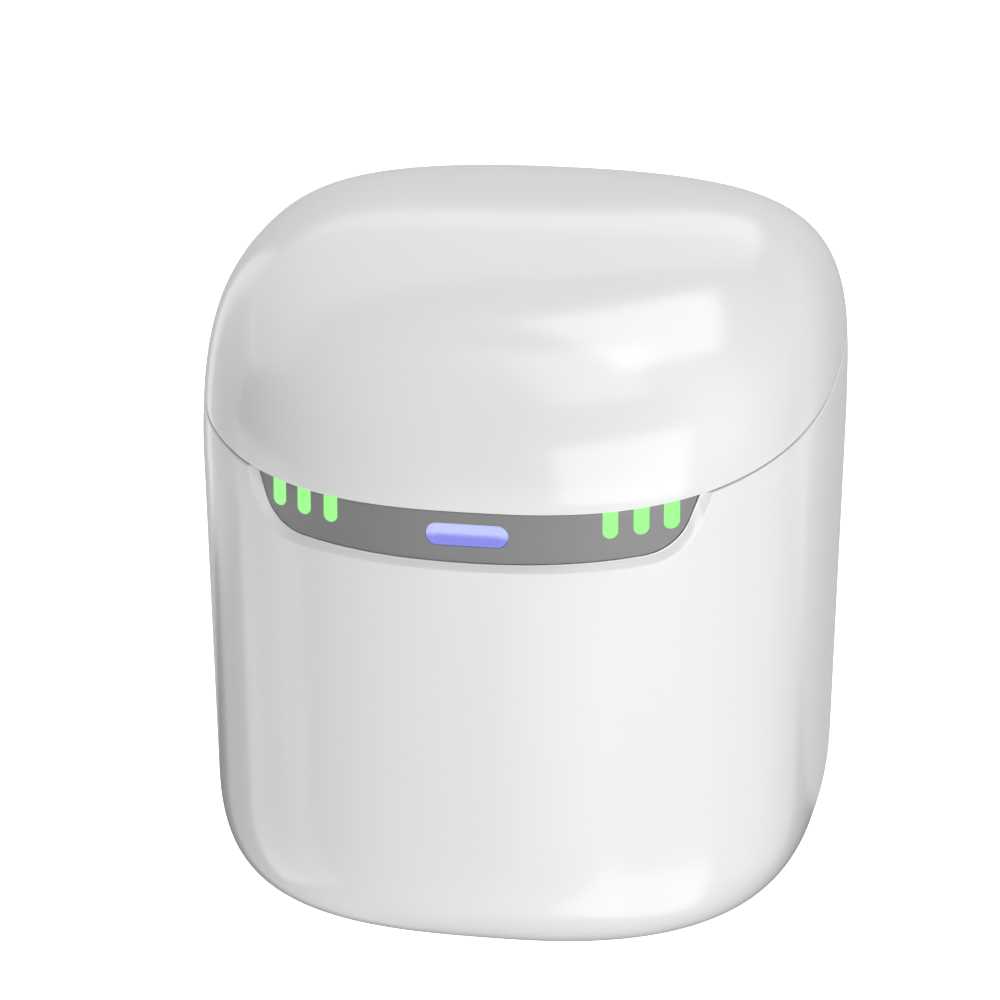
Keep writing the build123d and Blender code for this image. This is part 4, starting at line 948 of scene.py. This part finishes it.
@dataclass
class Lid:
    """The white domed lid with its hinge barrel."""

    finish: bpy.types.Material
    hinge: Hinge
    wall: float = 2.2 * MM
    gap: float = 0.3 * MM
    edge: float = 0.25 * MM
    spread: float = 2.6
    columns: int = 360
    dome_rows: int = 76

    def dome(self, turn: Array, start: Array, inset: float) -> list[Array]:
        """Rows of the dome from a level in each column up to its top."""
        crown = FORM.height - inset
        share = np.clip((start - FORM.dome_start) / (crown - FORM.dome_start), 0, 1)
        first = np.arccos((1 - share**self.spread) ** (1 / self.spread))
        press = 1 - FORM.crown_flat / (crown - FORM.dome_start)
        rows = []
        for step in np.linspace(0, 1, self.dome_rows):
            angle = first + (RIGHT_ANGLE - first) * step
            cosine = np.maximum(np.cos(angle), 0)
            rise = (1 - cosine**self.spread) ** (1 / self.spread)
            level = FORM.dome_start + (crown - FORM.dome_start) * rise
            rows.append(FORM.points(turn, level, inset, FORM.dome_start + (level - FORM.dome_start) * press))
        return rows

    def rows(self) -> list[Array]:
        """Rows from the top of the inside, down to the rim and up the outside."""
        turn = np.linspace(0, 2 * math.pi, self.columns, endpoint=False)
        rim = FORM.rim(turn, 0.0, self.gap / 2)
        inside = FORM.rim(turn, self.wall, self.gap / 2)
        rows = self.dome(turn, inside, self.wall)[::-1]
        for share in (0.0, 0.5, 1.0):
            inset = self.wall + (self.edge - self.wall) * share
            rows.append(FORM.points(turn, FORM.rim(turn, inset, self.gap / 2), inset))
        for share in (0.25, 0.5, 0.75):
            angle = RIGHT_ANGLE * share
            rows.append(FORM.points(turn, rim + self.edge * (1 - math.cos(angle)),
                                    self.edge * (1 - math.sin(angle))))
        return rows + self.dome(turn, rim + self.edge, 0.0)

    def build(self) -> list[bpy.types.Object]:
        """The finished shell."""
        piece = mesh_piece("lid_cover", *skin(self.rows()), self.finish, 28.0)
        hinge = self.hinge
        rooms = []
        for side in Side:
            low, high = sorted((side.value * (hinge.body_low - hinge.gap), side.value * (hinge.body_high + hinge.gap)))
            rooms.append(hinge.barrel(low, high, hinge.radius + hinge.gap, 0.0))
        work(piece, joined("rooms", rooms), Join.CUT)
        web = prism("web", [
            (hinge.y - hinge.radius - self.gap, hinge.z + self.gap / 2),
            (hinge.y, hinge.z + self.gap / 2),
            (hinge.y, hinge.z + hinge.radius),
            (hinge.y - hinge.radius - self.gap, hinge.z + hinge.radius)], -hinge.lid_half, hinge.lid_half)
        barrel = hinge.barrel(-hinge.lid_half, hinge.lid_half, hinge.radius, hinge.end_round)
        work(barrel, web, Join.WELD)
        work(piece, barrel, Join.WELD)
        work(piece, hinge.bore_tool(), Join.CUT)
        smooth(piece.data, 28.0)
        return [finish_piece(piece, "lid", "white_shell", "lid_shell")]


@dataclass
class LidLining:
    """The silver lining of the lid with its two magnet pockets, and the soft seal below it."""

    lining: bpy.types.Material
    seal: bpy.types.Material
    lid: Lid
    outer: float = 2.5 * MM
    inner: float = 3.7 * MM
    foot: float = 2.15 * MM
    seal_insets: tuple[float, float] = (2.3 * MM, 4.1 * MM)
    seal_lifts: tuple[float, float] = (0.15 * MM, 2.05 * MM)
    seal_edge: float = 0.25 * MM
    magnet_x: float = 12.0 * MM
    magnet_y: float = -40.2 * MM
    magnet: tuple[float, float, float] = (6.0 * MM, 2.0 * MM, 2.4 * MM)
    magnet_wall: float = 0.9 * MM
    fit: float = 0.1 * MM

    def box(self, x: float, size: tuple[float, float], low: float, high: float) -> bpy.types.Object:
        """An upright block around one magnet's axis."""
        ring = slot_ring(size[0], size[1], 0.2 * MM, 3)
        rows = [np.stack([x + ring[:, 0], self.magnet_y + self.magnet_wall + ring[:, 1],
                          np.full(len(ring), z)], axis=1) for z in (low, high)]
        return mesh_piece("block", *skin(rows), None)

    def build(self) -> list[bpy.types.Object]:
        """The lining and the seal."""
        turn = np.linspace(0, 2 * math.pi, self.lid.columns, endpoint=False)
        outside = FORM.rim(turn, self.outer, self.foot)
        inside = FORM.rim(turn, self.inner, self.foot)
        rows = self.lid.dome(turn, inside, self.inner)[::-1] + self.lid.dome(turn, outside, self.outer)
        lining = mesh_piece("lid_lining", *skin(rows), self.lining, 28.0)
        length, width, height = self.magnet
        start = float(FORM.parting(np.array(self.magnet_y), self.foot)) + self.fit
        middle = (self.outer + self.inner) / 2
        for side in Side:
            x, wall = side.value * self.magnet_x, 2 * self.magnet_wall
            solid_rim = FORM.rim(turn, middle, self.foot + self.fit / 2)
            block = mesh_piece("solid", *skin(self.lid.dome(turn, solid_rim, middle)), None)
            work(block, self.box(x, (length + wall, width + wall), FORM.dome_start,
                                 start + height + self.magnet_wall), Join.SHARE)
            work(lining, block, Join.WELD)
        for side in Side:
            pocket = self.box(side.value * self.magnet_x, (length + self.fit, width + self.fit),
                              start - 2 * MM, start + height)
            work(lining, pocket, Join.CUT)
        smooth(lining.data, 28.0)
        near, far = self.seal_insets
        low, high = self.seal_lifts
        edge = self.seal_edge
        path = rounded_path([(near, low), (near, high), (far, high), (far, low)], [0, edge, edge, 0])
        ring = [FORM.points(turn, FORM.rim(turn, inset, lift), inset) for inset, lift in path]
        seal = mesh_piece("lid_seal_soft", *skin(ring, wrap=True), self.seal)
        return [finish_piece(lining, "lid", "liner_silver", "lid_liner"),
                finish_piece(seal, "lid", "soft_seal", "lid_seal")]


@dataclass
class FormedCopy:
    """A carried-over piece whose walls follow the outer form, shaded as the smooth form itself."""

    finish: bpy.types.Material
    node: str
    body: str
    slot: str
    insets: tuple[float, ...]
    reach: float = 0.04 * MM
    likeness: float = 0.9
    crown: float = 88.0 * MM

    def build(self) -> list[bpy.types.Object]:
        """The copy with the form's own directions on its formed walls."""
        mesh = frame["nodes"][self.node].data.copy()
        shape = bmesh.new()
        shape.from_mesh(mesh)
        bmesh.ops.remove_doubles(shape, verts=shape.verts, dist=0.0005 * MM)
        shape.to_mesh(mesh)
        shape.free()
        mesh.name = f"{self.node}_smooth"
        mesh.materials.clear()
        mesh.materials.append(self.finish)
        smooth(mesh, 25.0)
        points = np.array([v.co for v in mesh.vertices], float)
        corners = np.zeros(len(mesh.loops), int)
        mesh.loops.foreach_get("vertex_index", corners)
        counts = [p.loop_total for p in mesh.polygons]
        flat = np.repeat(np.array([p.normal for p in mesh.polygons]), counts, axis=0)
        facing = np.array([n.vector for n in mesh.corner_normals])
        for inset in self.insets:
            outward, distance = FORM.face(points, inset)
            outward, near = outward[corners], (np.abs(distance) < self.reach)[corners]
            sign = np.sign(np.sum(outward * flat, axis=1))[:, None]
            alike = np.abs(np.sum(outward * flat, axis=1)) > self.likeness
            use = near & alike & (points[corners, 2] < self.crown)
            facing = np.where(use[:, None], outward * sign, facing)
        mesh.normals_split_custom_set(facing.tolist())
        piece = bpy.data.objects.new(f"{self.node}_cover", mesh)
        bpy.context.scene.collection.objects.link(piece)
        return [finish_piece(piece, self.body, self.slot, self.node)]


@dataclass
class FrontPanel:
    """The grey panel in the recess, with its slots for the lights and the button."""

    finish: bpy.types.Material
    depth: float = 0.85 * MM
    back: float = 2.45 * MM
    margin: float = -0.12 * MM
    lift: float = -0.3 * MM
    edge: float = 0.1 * MM
    columns: int = 141
    end_trim: float = 0.15 * MM
    bar_places: tuple[float, ...] = (18.8 * MM, 22.7 * MM, 26.45 * MM)
    bar_tips: tuple[float, ...] = (61.8 * MM, 62.2 * MM, 62.65 * MM)
    bar_slot: float = 2.03 * MM
    button_slot: tuple[float, float] = (11.2 * MM, 3.1 * MM)

    def top(self, x: Array, inset: float) -> Array:
        """Height of the panel's upper edge at each width."""
        level = np.full_like(x, FORM.parting_front)
        for _ in range(12):
            level = FORM.parting(FORM.front(x, level, inset), self.lift)
        return level

    def rows(self) -> list[Array]:
        """Rows from the lower edge up the front, over the top and down the back."""
        near, far = 25 * MM, 35 * MM
        for _ in range(40):
            half = (near + far) / 2
            width = np.array([half])
            below = PANEL_OUTLINE.height(width, self.margin)[0] < self.top(width, self.depth)[0]
            near, far = (half, far) if below else (near, half)
        x = (near - self.end_trim) * np.sin(np.linspace(-RIGHT_ANGLE, RIGHT_ANGLE, self.columns))
        foot = PANEL_OUTLINE.height(x, self.margin)
        edge, face, back = self.edge, self.depth, self.back
        spots = [(0.0, face + edge), (0.3 * edge, face + 0.3 * edge), (edge, face)]
        rows = []
        tall = np.maximum(self.top(x, face) - foot, 0.0)
        for rise, inset in spots:
            level = foot + np.minimum(rise, tall / 3)
            rows.append(np.stack([x, FORM.front(x, level, inset), level], axis=1))
        for share in np.linspace(0, 1, 15)[1:-1]:
            level = foot + tall * share
            rows.append(np.stack([x, FORM.front(x, level, face), level], axis=1))
        for rise, inset in spots[::-1]:
            level = foot + tall - np.minimum(rise, tall / 3)
            rows.append(np.stack([x, FORM.front(x, level, inset), level], axis=1))
        for level in (foot + tall, foot):
            rows.append(np.stack([x, FORM.front(x, level, back), level], axis=1))
        return rows

    def build(self) -> list[bpy.types.Object]:
        """The finished panel."""
        columns = np.stack(self.rows()).transpose(1, 0, 2)
        piece = mesh_piece("status_panel", *skin(list(columns)), self.finish, 28.0)
        slots = [((self.button_slot[0], self.button_slot[1]), 0.0, BUTTON_MIDDLE, False)]
        for place, tip in zip(self.bar_places, self.bar_tips):
            tall = 2 * (FORM.parting_front - tip)
            slots += [((tall, self.bar_slot), side.value * place, tip + tall / 2, True) for side in Side]
        tools = []
        for (length, width), x, z, upright in slots:
            ring = slot_ring(length, width)
            u, v = (ring[:, 1], ring[:, 0]) if upright else (ring[:, 0], ring[:, 1])
            rows = [np.stack([x + u, np.full_like(u, y), z + v], axis=1) for y in (-50 * MM, -30 * MM)]
            tools.append(mesh_piece("slot", *skin(rows), None))
        work(piece, joined("slots", tools), Join.CUT)
        smooth(piece.data, 28.0)
        return [finish_piece(piece, "base", "panel_grey", "front_panel")]


@dataclass
class StartButton:
    """The lit start button with its finger groove, collar and stem."""

    finish: bpy.types.Material
    size: tuple[float, float] = (11.0 * MM, 2.9 * MM)
    face: float = -45.15 * MM
    collar_front: float = -43.25 * MM
    collar_back: float = -42.45 * MM
    stem_end: float = -40.4 * MM
    stem: float = 2.8 * MM
    collar: tuple[float, float] = (13.2 * MM, 4.15 * MM)
    collar_drop: float = -0.275 * MM
    groove: tuple[float, float] = (9.2 * MM, 1.5 * MM)
    groove_drop: float = -0.35 * MM
    groove_depth: float = 0.4 * MM
    edge: float = 0.22 * MM

    def build(self) -> list[bpy.types.Object]:
        """The finished button."""
        length, width = self.size
        groove_length, groove_width = self.groove
        path = rounded_path([
            (0.0, 0.0, 0.0, self.stem_end), (self.stem, self.stem, 0.0, self.stem_end),
            (self.stem, self.stem, 0.0, self.collar_back), (*self.collar, self.collar_drop, self.collar_back),
            (*self.collar, self.collar_drop, self.collar_front), (length, width, 0.0, self.collar_front),
            (length, width, 0.0, self.face), (groove_length, groove_width, self.groove_drop, self.face),
            (groove_length - 0.7 * MM, groove_width - 0.7 * MM, self.groove_drop, self.face + self.groove_depth),
            (groove_length - groove_width, 0.0, self.groove_drop, self.face + self.groove_depth)],
            [0, 0.05 * MM, 0, 0.05 * MM, 0.05 * MM, 0, self.edge, 0.25 * MM, 0.3 * MM, 0])
        rows = slot_rows(path, facing_front(0.0, BUTTON_MIDDLE))
        piece = mesh_piece("start_button_cap", *skin(rows), self.finish, 40.0)
        return [finish_piece(piece, "button", "button_blue", "start_button")]


@dataclass
class Bay:
    """One charging bay: the soft cradle and the coloured dot for its ear."""

    side: Side
    cradle: bpy.types.Material
    mark: bpy.types.Material
    x: float = 20.5 * MM
    y: float = 2.0 * MM
    foot: float = 46.6 * MM
    deck: float = 60.0 * MM
    rim: float = 61.2 * MM
    outer: tuple[float, float] = (48.0 * MM, 19.0 * MM)
    flange: tuple[float, float] = (50.4 * MM, 21.4 * MM)
    dish: tuple[float, float] = (45.0 * MM, 16.0 * MM)
    dish_floor: float = 55.7 * MM
    slot: tuple[float, float] = (31.0 * MM, 11.0 * MM)
    slot_floor: float = 48.4 * MM
    mark_y: float = -26.5 * MM
    mark_size: float = 2.8 * MM
    mark_height: float = 0.4 * MM

    def build(self) -> list[bpy.types.Object]:
        """The cradle and the dot."""
        x = self.side.value * self.x
        path = rounded_path([
            (self.outer[0] - self.outer[1], 0.0, 0, self.foot), (*self.outer, 0, self.foot),
            (*self.outer, 0, self.deck), (*self.flange, 0, self.deck), (*self.flange, 0, self.rim),
            (*self.dish, 0, self.rim), (*self.dish, 0, self.dish_floor), (*self.slot, 0, self.dish_floor),
            (*self.slot, 0, self.slot_floor), (self.slot[0] - self.slot[1], 0.0, 0, self.slot_floor)],
            [0, MM, 0, 0, 0.72 * MM, 0.5 * MM, 2.4 * MM, 0.8 * MM, 2.0 * MM, 0], 7)
        cradle = mesh_piece(f"cradle_{self.side.word}_soft", *skin(slot_rows(path, facing_up(x, self.y))),
                            self.cradle, 40.0)
        finish_piece(cradle, "base", "soft_cradle", f"cradle_{self.side.word}")
        top = self.deck + self.mark_height
        size = self.mark_size
        dome = rounded_path([(0, 0, 0, self.deck), (size, size, 0, self.deck), (size, size, 0, top), (0, 0, 0, top)],
                            [0, 0, self.mark_height, 0], 8)
        dot = mesh_piece(f"ear_dot_{self.side.word}", *skin(slot_rows(dome, facing_up(x, self.mark_y))),
                         self.mark, 50.0)
        colour = "mark_blue" if self.side is Side.LEFT else "mark_red"
        finish_piece(dot, "base", colour, f"ear_mark_{self.side.word}")
        return [cradle, dot]


@dataclass
class VentTower:
    """The low tower between the bays, with its air slots and the seat of the window."""

    finish: bpy.types.Material
    y: float = 2.0 * MM
    deck: float = 60.0 * MM
    top: float = 66.0 * MM
    size: tuple[float, float, float] = (44.0 * MM, 16.8 * MM, 4.0 * MM)
    inner: tuple[float, float, float] = (41.6 * MM, 14.4 * MM, 2.8 * MM)
    seat: tuple[float, float, float] = (22.2 * MM, 11.2 * MM, 1.0 * MM)
    hole: tuple[float, float, float] = (20.0 * MM, 9.0 * MM, 0.5 * MM)
    window: float = 1.0 * MM
    roof: float = 1.6 * MM
    slots: int = 11
    pitch: float = 3.2 * MM
    slot: tuple[float, float] = (2.6 * MM, 1.5 * MM)

    def build(self) -> list[bpy.types.Object]:
        """The finished tower."""
        under = self.top - self.roof
        path = rounded_path([
            (*self.size, self.deck), (*self.size, self.top), (*self.seat, self.top),
            (*self.seat, self.top - self.window), (*self.hole, self.top - self.window),
            (*self.hole, under), (*self.inner, under), (*self.inner, self.deck)],
            [0, MM, 0.15 * MM, 0, 0.1 * MM, 0, 0, 0])
        rows = []
        for length, width, corner, height in path:
            ring = slot_ring(length, width, corner)
            rows.append(np.stack([-ring[:, 1], self.y + ring[:, 0], np.full(len(ring), height)], axis=1))
        piece = mesh_piece("vent_tower_cover", *skin(rows, wrap=True), self.finish)
        tall, wide = self.slot
        ring = slot_ring(tall, wide)
        middle = self.deck + (self.top - self.roof - self.deck) / 2
        sides = [np.stack([np.full(len(ring), x), ring[:, 1], middle + ring[:, 0]], axis=1)
                 for x in (-self.size[1], self.size[1])]
        tool = mesh_piece("tower_slots", *skin(sides), None)
        repeated(tool, self.finish, 1, self.slots, 0.0, self.pitch * (self.slots - 1), (0, self.y, 0))
        work(piece, tool, Join.CUT)
        smooth(piece.data)
        return [finish_piece(piece, "base", "deck_grey", "vent_tower")]


@dataclass
class ScrewSet:
    """Four cross-headed screws on a rectangle."""

    finish: bpy.types.Material
    node: str
    length: float
    width: float
    head_top: float
    shank: float
    head_up: bool = True
    radius: float = 2.0 * MM
    shank_radius: float = 1.0 * MM
    head: float = 1.0 * MM
    cross: tuple[float, float, float] = (2.2 * MM, 0.44 * MM, 0.5 * MM)

    def build(self) -> list[bpy.types.Object]:
        """One screw, spread over the rectangle."""
        way = 1 if self.head_up else -1
        top = self.head_top
        head, shank = 2 * self.radius, 2 * self.shank_radius
        foot = top - way * (self.head + self.shank)
        path = rounded_path([
            (0, 0, 0, foot), (0.4 * shank, 0.4 * shank, 0, foot), (shank, shank, 0, foot + way * 0.8 * MM),
            (shank, shank, 0, top - way * self.head), (head, head, 0, top - way * self.head),
            (head, head, 0, top), (0, 0, 0, top)], [0, 0, 0.1 * MM, 0, 0.1 * MM, 0.35 * MM, 0])
        piece = mesh_piece(f"{self.node}_steel", *skin(slot_rows(path, facing_up(0.0, 0.0))), self.finish)
        long, wide, deep = self.cross
        for size in ((long, wide), (wide, long)):
            ring = slot_ring(size[0], size[1], 0.05 * MM, 2) if size[0] > size[1] \
                else slot_ring(size[1], size[0], 0.05 * MM, 2)[:, ::-1]
            rows = [np.stack([ring[:, 0], ring[:, 1], np.full(len(ring), z)], axis=1)
                    for z in sorted((top - way * deep, top + way * MM))]
            work(piece, mesh_piece("cross", *skin(rows), None), Join.CUT)
        repeated(piece, self.finish, 2, 2, self.length, self.width, (0, 0, 0))
        return [finish_piece(piece, "base", "steel", self.node)]


# ---------------------------------------------------------------- studio
@dataclass(frozen=True)
class SoftBox:
    """A rectangular soft light that faces the object."""

    name: str
    azimuth: float
    elevation: float
    power: float
    width: float = 0.6
    height: float = 0.6
    distance: float = 1.0

    def build(self, target: Vector) -> None:
        """Hangs the light round a target."""
        light = bpy.data.lights.new(self.name, "AREA")
        light.shape = "RECTANGLE"
        light.size, light.size_y = self.width, self.height
        light.energy = self.power
        lamp = bpy.data.objects.new(self.name, light)
        azimuth, elevation = math.radians(self.azimuth), math.radians(self.elevation)
        way = Vector((math.sin(azimuth) * math.cos(elevation), -math.cos(azimuth) * math.cos(elevation),
                      math.sin(elevation)))
        lamp.location = target + way * self.distance
        lamp.rotation_euler = way.to_track_quat("Z", "Y").to_euler()
        lamp.visible_camera = False
        bpy.context.scene.collection.objects.link(lamp)


@dataclass
class Studio:
    """The pale floor, the soft lights and the camera at the photograph's angle."""

    azimuth: float = 10.82
    elevation: float = 18.3
    distance: float = 628.0 * MM
    focal: float = 4432.6
    shift_right: float = -4.075 * MM
    target_height: float = 52.043 * MM
    frame_pixels: float = 1000.0
    sensor: float = 36.0
    floor_half: float = 6.0
    dome_radius: float = 15.0
    floor_glow: float = 1.0
    world: float = 0.03
    boxes: tuple[SoftBox, ...] = (
        SoftBox("front", 30, 15, 6.5, 0.94, 0.73),
        SoftBox("front_middle", 20, -10, 2.3, 1.3, 0.54),
        SoftBox("front_low", 10, -45, 1.45, 0.57, 0.93),
        SoftBox("right_low", 50, -50, 4.0, 0.96, 0.65),
        SoftBox("right_back_low", 120, -25, 0.6, 0.74, 0.54),
        SoftBox("right_strip", 75, 38, 1.3, 0.45, 1.2),
        SoftBox("left_side", -120, 5, 2.4, 0.82, 0.93),
        SoftBox("left_low", -80, -25, 3.0, 0.74, 0.93),
        SoftBox("left_foot", -110, -45, 1.1, 0.78, 0.93),
        SoftBox("back", 178, 5, 4.6, 2.4, 1.2),
        SoftBox("back_high", -140, 45, 3.2, 1.83, 0.54),
        SoftBox("crown", 130, 75, 3.3, 0.56, 0.54),
        SoftBox("crown_front", 20, 75, 1.5, 0.41, 0.54),
    )

    def camera(self) -> None:
        """The camera of the photograph."""
        azimuth, elevation = math.radians(self.azimuth), math.radians(self.elevation)
        right = Vector((math.cos(azimuth), math.sin(azimuth), 0.0))
        back = Vector((math.sin(azimuth) * math.cos(elevation), -math.cos(azimuth) * math.cos(elevation),
                       math.sin(elevation)))
        target = right * self.shift_right + Vector((0, 0, self.target_height))
        lens = bpy.data.cameras.new("camera")
        lens.sensor_width = self.sensor
        lens.lens = self.focal * self.sensor / self.frame_pixels
        lens.clip_start, lens.clip_end = 10 * MM, 50.0
        camera = bpy.data.objects.new("camera", lens)
        camera.location = target + back * self.distance
        camera.rotation_euler = back.to_track_quat("Z", "Y").to_euler()
        bpy.context.scene.collection.objects.link(camera)
        bpy.context.scene.camera = camera

    def plane(self, name: str, level: float) -> tuple[bpy.types.Object, Wiring, bpy.types.Node]:
        """A wide level plane that is clear from below.

        Args:
            name: the plane's name.
            level: its height.

        Returns:
            The plane, its material's wiring and its shader node.
        """
        half = self.floor_half
        mesh = bpy.data.meshes.new(name)
        mesh.from_pydata([(-half, -half, level), (half, -half, level), (half, half, level),
                          (-half, half, level)], [], [(0, 1, 2, 3)])
        plane = bpy.data.objects.new(name, mesh)
        bpy.context.scene.collection.objects.link(plane)
        material, wire, shader = new_material(f"pale_{name}")
        shader.inputs["Base Color"].default_value = (0.9, 0.9, 0.9, 1.0)
        shader.inputs["Roughness"].default_value = 0.9
        below = wire.add("ShaderNodeNewGeometry").outputs["Backfacing"]
        clear = wire.add("ShaderNodeBsdfTransparent").outputs[0]
        mixed = wire.add("ShaderNodeMixShader", {0: below, 1: shader.outputs[0], 2: clear})
        output = next(n for n in material.node_tree.nodes if n.type == "OUTPUT_MATERIAL")
        wire.tree.links.new(mixed.outputs[0], output.inputs["Surface"])
        mesh.materials.append(material)
        return plane, wire, shader

    def floor(self) -> None:
        """A white floor that only the camera sees, so that the lights reach the foot as well."""
        floor, _, shader = self.plane("floor", -0.05 * MM)
        shader.inputs["Emission Color"].default_value = (1.0, 1.0, 1.0, 1.0)
        shader.inputs["Emission Strength"].default_value = self.floor_glow
        floor.visible_diffuse = floor.visible_glossy = floor.visible_shadow = False

    def backdrop(self) -> None:
        """A white dome all round, which only the camera sees."""
        shape = bmesh.new()
        bmesh.ops.create_uvsphere(shape, u_segments=48, v_segments=24, radius=self.dome_radius)
        mesh = bpy.data.meshes.new("backdrop")
        shape.to_mesh(mesh)
        shape.free()
        dome = bpy.data.objects.new("backdrop", mesh)
        bpy.context.scene.collection.objects.link(dome)
        material, _, shader = new_material("white_backdrop")
        shader.inputs["Emission Color"].default_value = (1.0, 1.0, 1.0, 1.0)
        shader.inputs["Emission Strength"].default_value = self.floor_glow
        mesh.materials.append(material)
        dome.visible_diffuse = dome.visible_glossy = dome.visible_shadow = False
        dome.visible_transmission = False

    def build(self) -> None:
        """Sets the camera, the floor, the sky and the lights."""
        self.camera()
        self.floor()
        self.backdrop()
        scene = bpy.context.scene
        scene.view_settings.view_transform = "Standard"
        sky = bpy.data.worlds.new("sky")
        sky.use_nodes = True
        sky.node_tree.nodes["Background"].inputs["Color"].default_value = (1.0, 1.0, 1.0, 1.0)
        sky.node_tree.nodes["Background"].inputs["Strength"].default_value = self.world
        scene.world = sky
        for box in self.boxes:
            box.build(Vector((0, 0, self.target_height)))


# ---------------------------------------------------------------- assembly
def dress_frame(finishes: dict[str, bpy.types.Material]) -> None:
    """Gives every carried-over node the finish of its slot in the record."""
    for part in frame["record"]["subparts"]:
        mesh = frame["nodes"][part["node"]].data
        mesh.materials.clear()
        mesh.materials.append(finishes[part["material_slot"]])


def main() -> None:
    """Builds the sub-assemblies in order and reports each piece."""
    logging.basicConfig(level=logging.INFO, format="%(name)s: %(message)s")
    finishes = {finish.slot: finish.material() for finish in FINISHES}
    dress_frame(finishes)
    hinge = Hinge()
    white, steel = finishes["white_shell"], finishes["steel"]
    lid = Lid(white, hinge)
    assemblies = [
        BodyShell(white, hinge), lid, LidLining(finishes["liner_silver"], finishes["soft_seal"], lid),
        FrontPanel(finishes["panel_grey"]),
        StartButton(finishes["button_blue"]), VentTower(finishes["deck_grey"]),
        Bay(Side.LEFT, finishes["soft_cradle"], finishes["mark_blue"]),
        Bay(Side.RIGHT, finishes["soft_cradle"], finishes["mark_red"]),
        FormedCopy(finishes["deck_grey"], "deck", "base", "deck_grey", (2.6 * MM, 4.1 * MM)),
        ScrewSet(steel, "base_screws", 41.0 * MM, 44.0 * MM, 0.9 * MM, 11.0 * MM, head_up=False),
        ScrewSet(steel, "deck_screws", 67.0 * MM, 40.0 * MM, 60.0 * MM, 6.0 * MM),
        ScrewSet(steel, "board_screws", 20.0 * MM, 53.0 * MM, 11.6 * MM, 6.0 * MM),
    ]
    for assembly in assemblies:
        for piece in assembly.build():
            log.info("%s: %d faces", piece.name, len(piece.data.polygons))
    Studio().build()


if __name__ == "__main__":
    main()
